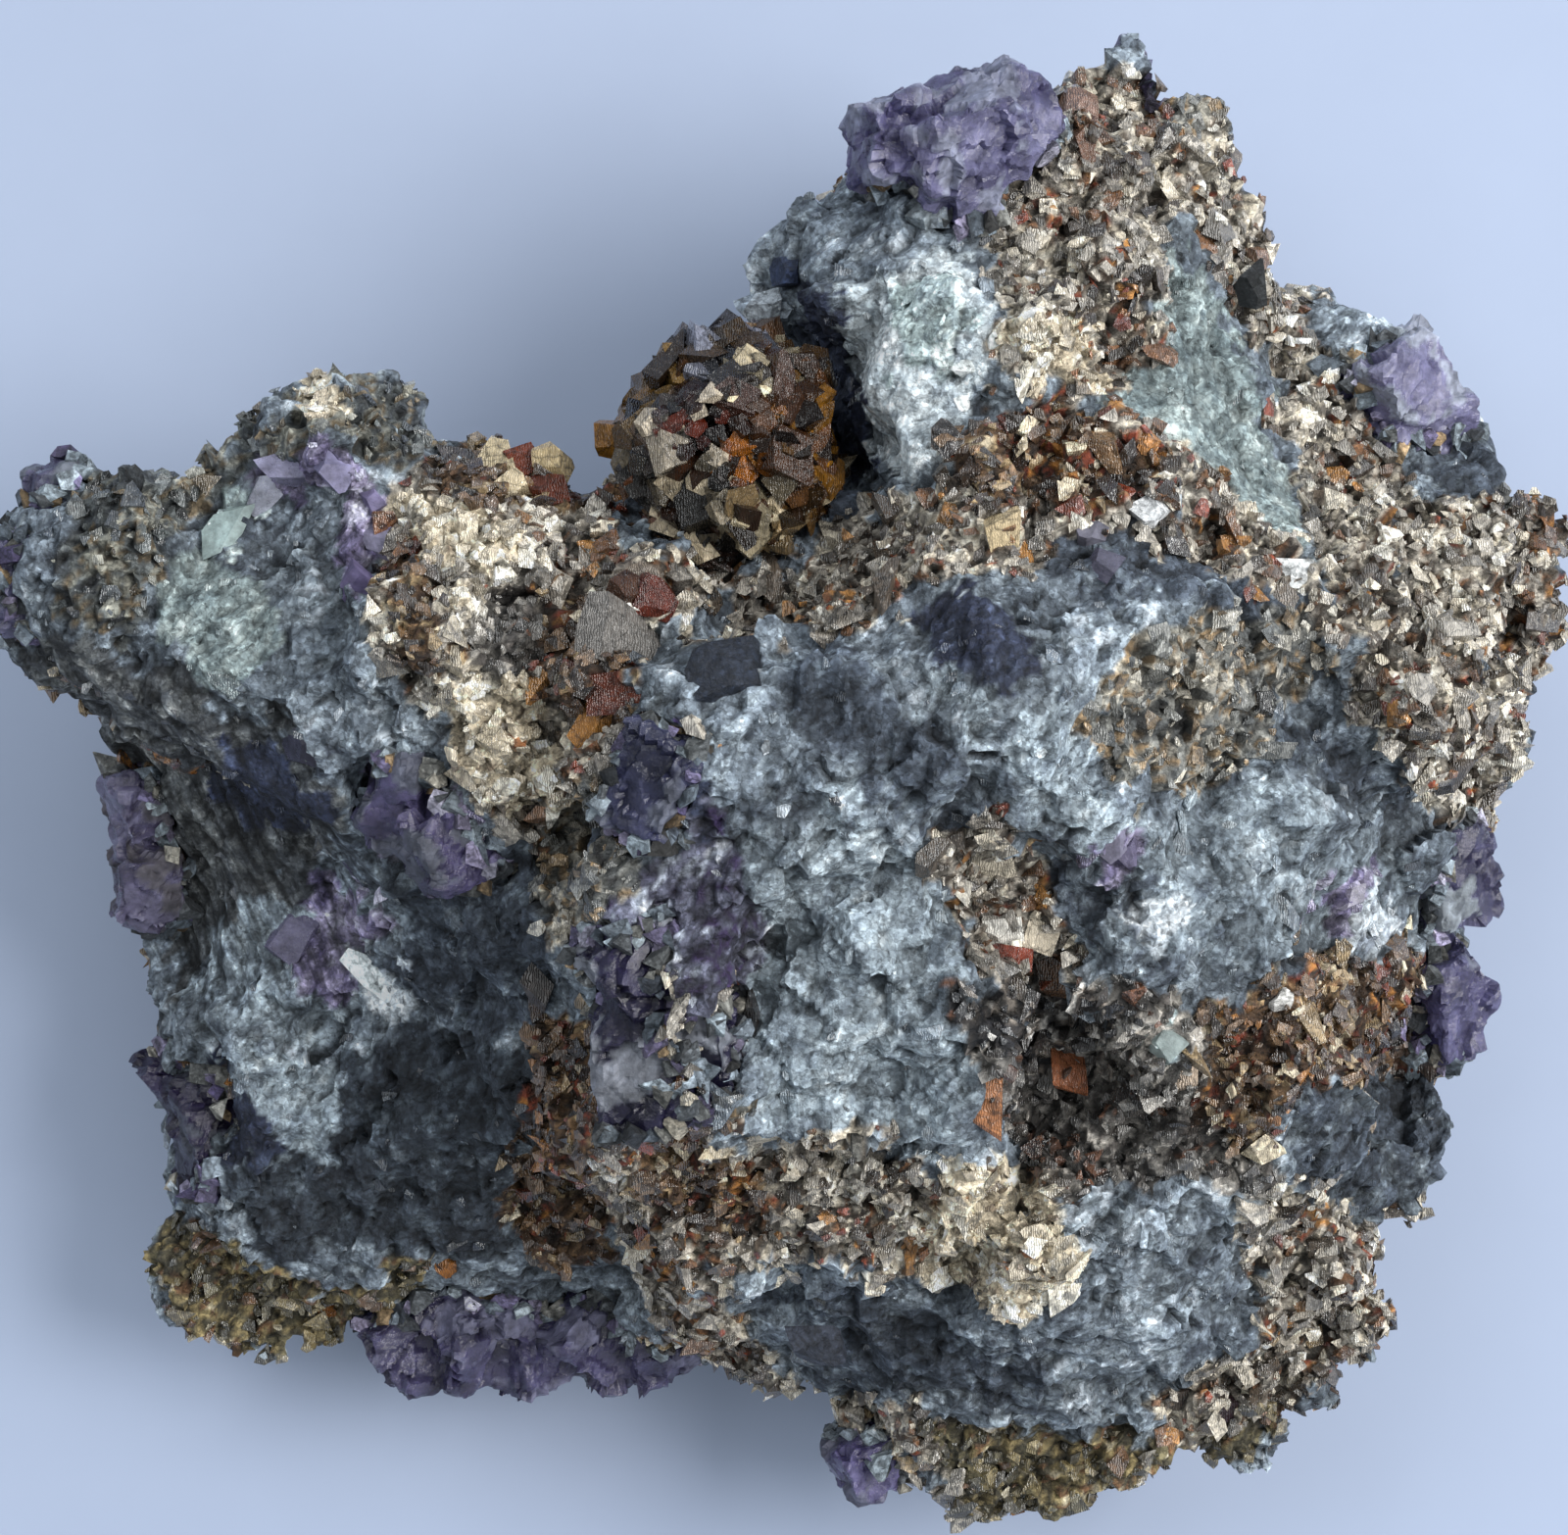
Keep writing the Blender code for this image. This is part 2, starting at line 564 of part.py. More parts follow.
def knob(name, grow, slot):
    """The knob: a cleaved core with crystals all over it, each face moved out by grow."""
    random_source = random.Random(SEED + 1)
    centre = placed(*KNOB_CENTRE)
    core = bmesh.new()
    half = [h * KNOB_CORE for h in KNOB_HALF]
    distances = [sum(abs(n) * h for n, h in zip(normal, half)) for normal in CUBE_NORMALS]
    diagonal = sum(half) / math.sqrt(3)
    distances += [diagonal * random_source.uniform(*KNOB_CORNER_CUTS) for _ in CORNER_NORMALS]
    grown = [distance + grow for distance in distances]
    polyhedron(core, CUBE_NORMALS + CORNER_NORMALS, grown, crystal_frame(centre, KNOB_TURN))
    bmesh.ops.recalc_face_normals(core, faces=core.faces)
    grains = bmesh.new()
    golden_turn = math.pi * (3 - math.sqrt(5))
    for i in range(KNOB_GRAINS):
        up = KNOB_TOP - KNOB_REACH_DOWN * i / KNOB_GRAINS
        out = math.sqrt(1 - up * up)
        way = Vector((out * math.cos(golden_turn * i), out * math.sin(golden_turn * i), up))
        place = centre + Vector([w * h * KNOB_GRAIN_OUT for w, h in zip(way, KNOB_HALF)])
        size = KNOB_GRAIN_SIZE * random_source.uniform(*GRAIN_SPREAD)
        sphalerite_grain(grains, place, size, random_source, grow)
    bmesh.ops.recalc_face_normals(grains, faces=grains.faces)
    made = add_object(name, core, slot)
    combine(made, add_object(name + "_grains", grains, slot), "UNION")
    return made


def main():
    clear_scene()
    slots = {name: material(name) for name in COLOURS}
    bm = coarse_lump()
    split_long_edges(bm, FACET)
    roughen(bm)
    bm = evened(bm)
    grains = surface_grains(BVHTree.FromBMesh(bm))
    rock = add_object("rock", bm, slots["rock"])
    combine(rock, add_object("surface_grains", grains, slots["rock"]), "UNION")
    for name, crystals in FLUORITE.items():
        pocket = cluster(name + "_pocket", fluorite_mesh(crystals, POCKET_GAP), slots["rock"])
        combine(rock, pocket, "DIFFERENCE")
        cluster(name, fluorite_mesh(crystals, 0.0), slots["fluorite"])
    combine(rock, knob("knob_pocket", POCKET_GAP, slots["rock"]), "DIFFERENCE")
    knob("sphalerite_knob", 0.0, slots["sphalerite"])
    keep_largest_body(rock)
    thin_out(rock, ROCK_TRIANGLES)


main()
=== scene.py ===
"""Sphalerite with fluorite: the looks of the broken lump of ore on pale paper.

Lengths here are in millimetres until MM turns them into metres. A plan place is where a
point is seen from straight above, in tenths of a millimetre from the upper left corner
of the view, on the level SIGHT_LEVEL, where the view is SIGHT_WIDTH wide.
"""

import math

import bmesh
import bpy
import numpy as np
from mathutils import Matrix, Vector
from mathutils.bvhtree import BVHTree


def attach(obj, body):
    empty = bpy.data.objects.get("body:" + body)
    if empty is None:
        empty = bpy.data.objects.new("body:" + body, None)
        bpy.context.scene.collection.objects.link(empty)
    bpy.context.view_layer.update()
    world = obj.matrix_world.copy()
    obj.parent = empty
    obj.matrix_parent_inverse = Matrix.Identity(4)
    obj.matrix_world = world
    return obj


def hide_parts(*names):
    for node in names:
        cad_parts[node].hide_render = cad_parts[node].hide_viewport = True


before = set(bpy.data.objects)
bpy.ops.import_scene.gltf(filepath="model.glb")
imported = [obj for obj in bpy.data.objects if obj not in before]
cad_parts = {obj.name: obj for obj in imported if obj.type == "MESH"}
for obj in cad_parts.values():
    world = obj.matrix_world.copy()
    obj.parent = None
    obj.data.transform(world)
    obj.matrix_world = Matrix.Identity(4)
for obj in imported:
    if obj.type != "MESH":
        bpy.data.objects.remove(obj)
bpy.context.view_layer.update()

MM = 0.001
EYE_HEIGHT = 420.0
SIGHT_LEVEL = 45.0
EDGE_LEVEL = 51.0
SIGHT_WIDTH = 160.0
SENSOR_WIDTH = 36.0
EYE_BACK = 0.3
PLAN_LEFT = -80.0
PLAN_TOP = 78.0
VOXEL = 0.62
FLUORITE_VOXEL = 0.5
KNOB_VOXEL = 0.7
PIECE_FACES = 95000
GRAINS_PER_PIECE = 14000
SEED = 11

# The rock: widths of the flat breaks of its surface, the height under which the minerals are
# the hidden ones, and the height under which the surface that it rests on stays flat.
BREAKS = (8.0, 3.4, 1.7)
HIDDEN_BELOW = 14.0
FLAT_BELOW = 0.4
# Grains: how much they lean, how deep and how flat they lie, and how high above the paper
# the lowest ones are.
GRAIN_LEAN = 0.42
GRAIN_SUNK = 0.22
GRAIN_FLAT = 0.5
GRAINS_ABOVE = 2.0
# The knob: how deep in the solid its crystals are set, how much deeper its core is, how much
# the crystals lean and how flat they are.
KNOB_DEPTH = 0.9
CORE_DEPTH = 1.6
KNOB_LEAN = 0.24
KNOB_FLAT = 0.55
KNOB_CORE = (24, 12, 8)
# The crust around the fluorite: spacing, how near the rock is, how much room it needs, and
# the least and greatest size of its grains.
RIM_SPACING = 1.3
RIM_REACH = 1.6
RIM_ROOM = 1.2
RIM_SIZES = (0.9, 2.3)
RIM_MINERALS = ("slate", "pale", "mottle", "charcoal", "lilac")


# Random numbers and noise over points in space


# Large odd numbers that stir the places together, and the most that 32 bits hold.
STIR = (73856093, 19349663, 83492791, 97531)
MIX = (0x2C1B3C6D, 0x297A2D39)
FULL = 0xFFFFFFFF


def lattice_random(lattice, salt):
    """Repeatable numbers from 0 to 1 for whole-numbered places."""
    x, y, z = (lattice[:, i].astype(np.int64) * STIR[i] for i in range(3))
    h = (x ^ y ^ z ^ (salt * STIR[3])) & FULL
    h = ((h ^ (h >> 15)) * MIX[0]) & FULL
    h = ((h ^ (h >> 12)) * MIX[1]) & FULL
    return (h ^ (h >> 15)) / FULL


def smooth_noise(points, salt):
    """Soft noise from -1 to 1, one swell per unit."""
    base = np.floor(points)
    part = points - base
    part = part * part * (3 - 2 * part)
    base = base.astype(np.int64)
    total = np.zeros(len(points))
    for corner in range(8):
        step = np.array([corner & 1, corner >> 1 & 1, corner >> 2 & 1])
        weight = np.prod(np.where(step == 1, part, 1 - part), axis=1)
        total += weight * lattice_random(base + step, salt)
    return 2 * total - 1


def clouds(points, width, octaves, salt):
    """Soft noise in several sizes, the largest one of this width."""
    total = np.zeros(len(points))
    share = 1.0
    for octave in range(octaves):
        total += share * smooth_noise(points / width, salt + octave)
        width /= 2.1
        share *= 0.55
    return total


def cells(points, width, salt):
    """Scattered cells: the centre of each point's cell, four random numbers of the cell,
    and how far the point is from the next cell."""
    scaled = points / width
    base = np.floor(scaled - 0.5).astype(np.int64)
    best = np.full(len(points), 1e9)
    second = best.copy()
    centre = np.zeros_like(points)
    owner = np.zeros_like(base)
    for corner in range(8):
        cell = base + np.array([corner & 1, corner >> 1 & 1, corner >> 2 & 1])
        shift = np.stack([lattice_random(cell, salt + i) for i in range(3)], axis=1)
        place = cell + 0.1 + 0.8 * shift
        away = ((scaled - place) ** 2).sum(axis=1)
        nearer = away < best
        second = np.where(nearer, best, np.minimum(second, away))
        best[nearer] = away[nearer]
        centre[nearer] = place[nearer]
        owner[nearer] = cell[nearer]
    numbers = np.stack([lattice_random(owner, salt + 10 + i) for i in range(4)], axis=1)
    return centre * width, numbers, (np.sqrt(second) - np.sqrt(best)) * width


def flat_break(points, found, depth, slope):
    """How far each point is moved by the flat break that its cell is."""
    centre, numbers, _ = found
    tilt = ((2 * numbers[:, :3] - 1) * (points - centre)).sum(axis=1)
    return depth * (2 * numbers[:, 3] - 1) + slope * tilt


# Colours


def linear(colours):
    """Screen colours from 0 to 255 as linear ones."""
    c = np.asarray(colours, float) / 255
    return np.where(c <= 0.04045, c / 12.92, ((c + 0.055) / 1.055) ** 2.4)


# Minerals: each is a list of (share, colour). The shares of one mineral add up to 1.
MINERALS = {
    "slate": [(0.10, (164, 172, 180)), (0.22, (128, 138, 146)), (0.32, (102, 111, 120)),
              (0.22, (80, 88, 97)), (0.14, (54, 60, 69))],
    "pale": [(0.05, (184, 193, 198)), (0.18, (156, 167, 174)), (0.37, (130, 141, 149)),
             (0.27, (108, 118, 127)), (0.13, (80, 89, 98))],
    "deep": [(0.10, (90, 98, 106)), (0.20, (64, 72, 80)), (0.40, (45, 51, 59)),
             (0.30, (31, 35, 42))],
    "bluish": [(0.07, (164, 173, 179)), (0.19, (136, 146, 153)), (0.36, (110, 120, 128)),
               (0.25, (88, 97, 105)), (0.13, (62, 69, 78))],
    "chalky": [(0.14, (206, 212, 214)), (0.32, (186, 194, 198)), (0.34, (166, 176, 182)),
               (0.20, (140, 150, 158))],
    "dark": [(0.10, (118, 127, 135)), (0.22, (88, 97, 106)), (0.40, (62, 69, 79)),
             (0.28, (42, 48, 57))],
    "navy": [(0.55, (30, 35, 52)), (0.3, (42, 48, 66)), (0.15, (64, 72, 92))],
    "teal": [(0.12, (176, 186, 184)), (0.26, (142, 153, 152)), (0.36, (118, 130, 131)),
             (0.26, (92, 104, 107))],
    "dusky": [(0.14, (178, 172, 164)), (0.17, (136, 131, 124)), (0.21, (98, 95, 91)),
              (0.20, (68, 64, 61)), (0.16, (42, 40, 39)), (0.12, (92, 62, 46))],
    "charcoal": [(0.14, (112, 114, 114)), (0.22, (86, 89, 90)), (0.36, (66, 69, 72)),
                 (0.28, (46, 49, 53))],
    "mint": [(0.5, (176, 192, 192)), (0.3, (146, 160, 164)), (0.2, (204, 216, 214))],
    "white": [(0.4, (198, 204, 209)), (0.4, (172, 180, 187)), (0.2, (138, 146, 157))],
    # In flaky and brown the cream and beige colours are painted glints, light reflected by cleavage
    # faces; the other colours are the grains' own.
    "flaky": [(0.14, (220, 214, 200)), (0.18, (190, 180, 162)), (0.16, (158, 151, 140)),
              (0.13, (118, 112, 104)), (0.10, (78, 68, 58)), (0.08, (50, 42, 36)),
              (0.11, (108, 76, 52)), (0.06, (112, 52, 34)), (0.04, (150, 106, 58))],
    "brown": [(0.12, (192, 178, 152)), (0.14, (142, 122, 92)), (0.18, (104, 80, 56)),
              (0.20, (66, 49, 36)), (0.15, (38, 29, 24)), (0.14, (96, 44, 28)),
              (0.07, (140, 94, 46))],
    "cream": [(0.28, (230, 222, 204)), (0.32, (206, 192, 168)), (0.20, (172, 160, 138)),
              (0.09, (122, 108, 92)), (0.06, (84, 70, 58)), (0.05, (138, 92, 60))],
    # The palest colour of black is painted glints: silver light reflected by its glassy faces.
    "black": [(0.20, (186, 182, 176)), (0.14, (112, 104, 96)), (0.22, (56, 52, 50)),
              (0.44, (28, 28, 31))],
    "mottle": [(0.12, (180, 172, 156)), (0.20, (146, 142, 132)), (0.14, (130, 110, 84)),
               (0.24, (110, 110, 106)), (0.20, (78, 80, 80)), (0.10, (46, 46, 46))],
    "dim": [(0.12, (148, 146, 134)), (0.18, (118, 118, 110)), (0.14, (100, 88, 70)),
            (0.24, (86, 90, 90)), (0.20, (60, 64, 68)), (0.12, (38, 39, 40))],
    "olive": [(0.3, (84, 78, 58)), (0.25, (60, 56, 44)), (0.2, (110, 98, 68)),
              (0.15, (86, 62, 42)), (0.1, (140, 132, 112))],
    "lilac": [(0.20, (168, 166, 184)), (0.32, (130, 124, 148)), (0.28, (98, 92, 120)),
              (0.20, (66, 60, 88))],
    "speckled": [(0.14, (200, 204, 212)), (0.20, (148, 154, 166)), (0.24, (88, 90, 106)),
                 (0.24, (54, 54, 68)), (0.18, (46, 36, 66))],
    "violet": [(0.5, (52, 40, 84)), (0.3, (74, 58, 112)), (0.2, (34, 28, 56))],
}

# Where each mineral shows on top, in the order in which they are laid over the slate.
AREAS = [
    # Painted shade: the shadowed hollow on the left is laid in charcoal, with navy at its darkest.
    ("charcoal", [(5, 645), (130, 662), (215, 700), (330, 765), (345, 830), (330, 900), (240, 880),
        (160, 880), (90, 780), (30, 700)]),
    ("charcoal", [(150, 860), (330, 880), (340, 960), (250, 1040), (170, 1010)]),
    ("navy", [(225, 750), (300, 765), (330, 830), (280, 860), (220, 820)]),
    ("teal", [(175, 555), (240, 560), (290, 620), (285, 690), (215, 700), (165, 640)]),
    ("slate", [(300, 640), (380, 650), (430, 720), (440, 790), (380, 770), (320, 730)]),
    ("pale", [(180, 1000), (260, 920), (350, 900), (380, 960), (330, 1060), (230, 1070)]),
    ("pale", [(230, 1085), (330, 1075), (400, 1140), (380, 1210), (290, 1190)]),
    # Painted shade: the shadowed face low on the left is laid in navy.
    ("navy", [(175, 1095), (225, 1090), (275, 1140), (290, 1205), (240, 1200), (185, 1215)]),
    ("deep", [(350, 1065), (480, 1040), (545, 1065), (530, 1150), (520, 1240), (490, 1290), (400, 1285),
        (290, 1285), (225, 1240), (250, 1200), (340, 1180)]),
    ("dark", [(400, 910), (520, 870), (590, 960), (560, 1040), (460, 1050), (420, 1000)]),
    ("slate", [(850, 140), (900, 120), (955, 210), (950, 270), (880, 300), (830, 270)]),
    ("chalky", [(850, 290), (960, 255), (1010, 300), (1015, 380), (960, 460), (930, 505), (880, 480),
        (860, 400)]),
    ("mint", [(900, 290), (970, 280), (1000, 330), (975, 370), (915, 380)]),
    ("teal", [(1185, 255), (1230, 275), (1285, 380), (1310, 480), (1345, 575), (1310, 600), (1265, 560),
        (1200, 500), (1130, 430), (1105, 395), (1160, 350), (1190, 300)]),
    ("flaky", [(1000, 205), (1050, 95), (1130, 60), (1200, 85), (1270, 180), (1330, 260), (1355, 340),
        (1400, 440), (1450, 500), (1560, 510), (1600, 545), (1590, 650), (1560, 760), (1520, 860),
        (1480, 850), (1430, 790), (1380, 730), (1370, 640), (1345, 560), (1320, 470), (1290, 370),
        (1240, 260), (1200, 200), (1180, 240), (1190, 320), (1150, 390), (1090, 400), (1020, 390),
        (1010, 300)]),
    ("cream", [(1020, 330), (1080, 320), (1140, 370), (1110, 400), (1050, 390)]),
    ("mottle", [(1180, 60), (1290, 120), (1340, 210), (1330, 240), (1270, 170), (1190, 110)]),
    ("dark", [(1415, 430), (1480, 420), (1540, 470), (1530, 500), (1450, 490)]),
    ("flaky", [(720, 560), (790, 590), (890, 510), (960, 510), (1010, 440), (1080, 400), (1200, 460),
        (1330, 560), (1370, 650), (1330, 650), (1240, 600), (1130, 550), (1050, 590), (940, 590),
        (900, 640), (810, 650), (750, 630)]),
    ("brown", [(960, 430), (1060, 410), (1180, 470), (1150, 520), (1050, 510), (980, 520)]),
    ("dark", [(1060, 560), (1150, 530), (1250, 590), (1330, 620), (1290, 650), (1180, 620),
        (1100, 620)]),
    ("dark", [(800, 670), (880, 670), (960, 740), (1015, 850), (985, 880), (900, 830), (830, 760)]),
    ("navy", [(930, 620), (990, 600), (1050, 640), (1060, 700), (1010, 690), (960, 670)]),
    ("pale", [(955, 680), (1010, 690), (1040, 740), (1010, 780), (970, 750)]),
    ("pale", [(1060, 720), (1130, 740), (1120, 800), (1190, 850), (1150, 880), (1060, 850),
        (1040, 790)]),
    ("mottle", [(1105, 750), (1130, 700), (1165, 650), (1215, 622), (1270, 618), (1345, 640),
        (1350, 690), (1305, 712), (1296, 765), (1255, 798), (1228, 822), (1190, 800), (1165, 818),
        (1125, 792)]),
    ("dark", [(1290, 735), (1340, 728), (1400, 775), (1428, 815), (1370, 822), (1310, 775)]),
    ("bluish", [(1150, 850), (1260, 830), (1400, 850), (1440, 900), (1420, 975), (1330, 985),
        (1230, 985), (1130, 960), (1120, 900)]),
    ("pale", [(1210, 800), (1290, 790), (1370, 830), (1330, 860), (1250, 850)]),
    ("dark", [(1050, 880), (1110, 890), (1190, 905), (1170, 935), (1100, 935), (1050, 920)]),
    ("pale", [(760, 850), (850, 800), (900, 870), (960, 900), (1000, 1000), (1010, 1130), (940, 1175),
        (850, 1160), (780, 1125), (740, 1060), (765, 960)]),
    ("speckled", [(690, 800), (750, 830), (775, 960), (755, 1060), (700, 1040), (612, 1000), (600, 940),
        (640, 900), (680, 860)]),
    ("slate", [(700, 690), (790, 680), (840, 760), (840, 850), (760, 840), (700, 790)]),
    ("violet", [(645, 740), (690, 740), (700, 800), (665, 815), (640, 780)]),
    ("navy", [(675, 790), (715, 800), (722, 850), (690, 845)]),
    ("dim", [(55, 475), (100, 468), (150, 478), (240, 455), (310, 450), (250, 480), (205, 510),
        (170, 540), (150, 640), (110, 648), (60, 640), (70, 560)]),
    ("dim", [(180, 470), (270, 430), (330, 385), (385, 370), (430, 400), (450, 450), (420, 470),
        (345, 450), (260, 465)]),
    ("cream", [(305, 395), (345, 385), (352, 415), (318, 425)]),
    ("lilac", [(255, 470), (300, 445), (370, 470), (405, 530), (395, 590), (345, 610), (330, 560),
        (350, 520), (300, 490), (265, 500)]),
    ("mint", [(200, 530), (225, 490), (262, 485), (275, 520), (245, 560), (215, 560)]),
    ("flaky", [(400, 500), (440, 465), (520, 500), (600, 530), (690, 570), (740, 620), (700, 640),
        (600, 640), (620, 720), (655, 760), (610, 830), (600, 880), (640, 900), (600, 960), (560, 950),
        (540, 860), (480, 800), (440, 740), (410, 690), (380, 640), (385, 590), (410, 550)]),
    ("cream", [(405, 520), (450, 500), (520, 515), (545, 555), (505, 600), (440, 590), (412, 565)]),
    ("cream", [(430, 690), (480, 680), (540, 700), (568, 760), (560, 832), (520, 835), (480, 790),
        (445, 750)]),
    ("dusky", [(470, 622), (540, 608), (558, 660), (520, 690), (475, 678)]),
    ("brown", [(385, 580), (430, 585), (462, 640), (445, 688), (405, 660)]),
    ("brown", [(550, 612), (610, 600), (640, 650), (632, 722), (580, 732), (545, 690)]),
    ("mottle", [(560, 790), (640, 800), (650, 880), (600, 960), (545, 920)]),
    ("brown", [(440, 458), (520, 438), (645, 432), (650, 480), (640, 520), (560, 530), (500, 510),
        (450, 490)]),
    ("lilac", [(380, 770), (430, 760), (490, 830), (495, 880), (420, 890), (385, 840)]),
    ("lilac", [(320, 890), (380, 900), (390, 970), (340, 1010), (300, 990)]),
    ("white", [(345, 962), (400, 980), (432, 1018), (415, 1040), (370, 1015)]),
    ("brown", [(525, 1080), (555, 1020), (612, 1040), (606, 1140), (645, 1180), (620, 1290),
        (560, 1297), (515, 1240), (530, 1160)]),
    ("flaky", [(940, 850), (1010, 835), (1045, 900), (1100, 950), (1105, 1000), (1040, 1015),
        (985, 960), (955, 900)]),
    ("dusky", [(980, 1010), (1060, 980), (1150, 1000), (1230, 1040), (1300, 1110), (1310, 1200),
        (1240, 1240), (1150, 1215), (1100, 1235), (1040, 1190), (1010, 1110), (985, 1060)]),
    ("black", [(988, 1008), (1060, 985), (1135, 1000), (1150, 1040), (1105, 1078), (1030, 1074),
        (985, 1048)]),
    ("brown", [(1250, 1010), (1330, 1000), (1440, 955), (1490, 1000), (1500, 1090), (1480, 1115),
        (1400, 1095), (1340, 1115), (1300, 1180), (1240, 1160), (1225, 1080)]),
    ("dark", [(1330, 1130), (1380, 1095), (1470, 1110), (1500, 1180), (1470, 1240), (1380, 1250),
        (1330, 1215)]),
    ("mint", [(1165, 1060), (1195, 1045), (1215, 1075), (1180, 1095)]),
    ("lilac", [(1115, 850), (1165, 845), (1175, 880), (1130, 895)]),
    ("lilac", [(1355, 905), (1395, 895), (1400, 945), (1370, 955)]),
    ("white", [(1130, 925), (1200, 915), (1240, 945), (1180, 965)]),
    ("white", [(1385, 925), (1425, 915), (1420, 960), (1375, 985)]),
    ("flaky", [(615, 1160), (720, 1150), (860, 1165), (960, 1180), (1080, 1200), (1095, 1290),
        (1060, 1330), (960, 1310), (880, 1290), (760, 1300), (700, 1310), (640, 1280), (612, 1220)]),
    ("brown", [(640, 1160), (760, 1160), (800, 1230), (740, 1270), (650, 1240)]),
    ("cream", [(960, 1185), (1020, 1170), (1085, 1240), (1100, 1310), (1050, 1345), (960, 1320),
        (940, 1250)]),
    ("flaky", [(640, 1285), (720, 1300), (770, 1360), (840, 1410), (950, 1440), (1100, 1470),
        (1190, 1500), (1060, 1560), (960, 1530), (860, 1450), (700, 1375)]),
    ("slate", [(770, 1300), (880, 1300), (960, 1335), (1060, 1350), (1120, 1300), (1190, 1250),
        (1260, 1270), (1290, 1330), (1240, 1390), (1170, 1420), (1100, 1450), (950, 1440),
        (840, 1400)]),
    ("dark", [(800, 1330), (900, 1325), (1010, 1370), (1100, 1390), (1060, 1440), (950, 1430),
        (850, 1400)]),
    ("slate", [(1130, 1240), (1200, 1200), (1270, 1220), (1280, 1300), (1200, 1330)]),
    ("flaky", [(1260, 1230), (1340, 1210), (1410, 1260), (1425, 1310), (1400, 1370), (1300, 1440),
        (1200, 1480), (1170, 1430), (1240, 1395), (1295, 1330)]),
    ("olive", [(950, 1450), (1120, 1460), (1200, 1480), (1300, 1420), (1310, 1460), (1220, 1505),
        (1100, 1550), (1020, 1560), (955, 1510)]),
    ("olive", [(160, 1235), (240, 1275), (330, 1305), (390, 1330), (400, 1285), (445, 1290),
        (400, 1350), (380, 1390), (230, 1390), (165, 1330)]),
    # Painted shade: the dark notch between the knob and the slab is laid in navy.
    ("navy", [(790, 280), (860, 300), (880, 420), (885, 500), (850, 480), (830, 400)]),
]

# Minerals whose surface is made of facets, and how strongly.
FACETED = {
    "flaky": 1.0, "brown": 1.0, "cream": 0.8, "black": 0.9, "mottle": 0.8, "olive": 0.8,
    "dusky": 1.0, "dim": 0.7, "speckled": 0.4, "lilac": 0.5,
}
# Minerals with an even surface, and how much calmer than the rest they are.
CALM = {"chalky": 0.55, "teal": 0.4, "bluish": 0.25, "pale": 0.15}
# Minerals with grains standing on them: share of places taken.
GRAINY = {
    "flaky": 1.0, "brown": 1.0, "cream": 1.0, "dusky": 0.8, "black": 0.7, "mottle": 0.6,
    "olive": 0.6, "dim": 0.4,
}
GLOSS = {
    "flaky": 0.8, "brown": 0.9, "cream": 0.5, "black": 1.0, "dusky": 0.9, "mottle": 0.5,
    "olive": 0.5, "dim": 0.4,
    "violet": 0.9, "navy": 0.6, "lilac": 0.5, "white": 0.3, "speckled": 0.4, "teal": 0.35,
}


# Fluorite groups: the deep colour, the clear one, the dust on it and how much of it.
FLUORITES = {
    "fluorite_top": ((66, 62, 98), (118, 116, 150), (150, 154, 174), 0.40),
    "fluorite_left_tip": ((74, 72, 100), (122, 120, 150), (118, 124, 134), 0.5),
    "fluorite_left_flank": ((74, 68, 94), (140, 136, 166), (96, 92, 96), 0.45),
    "fluorite_lower_left": ((26, 22, 42), (54, 48, 78), (84, 88, 100), 0.35),
    "fluorite_hollow": ((42, 38, 64), (92, 86, 122), (96, 100, 112), 0.45),
    "fluorite_boss": ((22, 20, 40), (52, 48, 80), (146, 150, 160), 0.42),
    "fluorite_ridge": ((34, 36, 60), (74, 76, 106), (104, 108, 122), 0.4),
    "fluorite_front_ledge": ((36, 34, 54), (80, 76, 108), (112, 112, 136), 0.35),
    "fluorite_right_upper": ((50, 47, 76), (96, 94, 124), (158, 166, 172), 0.42),
    "fluorite_right_lower": ((55, 51, 84), (102, 99, 134), (126, 130, 144), 0.38),
    "fluorite_shoulder": ((106, 102, 138), (148, 146, 178), (164, 170, 184), 0.55),
    "fluorite_front": ((60, 54, 92), (116, 110, 152), (110, 112, 128), 0.4),
}

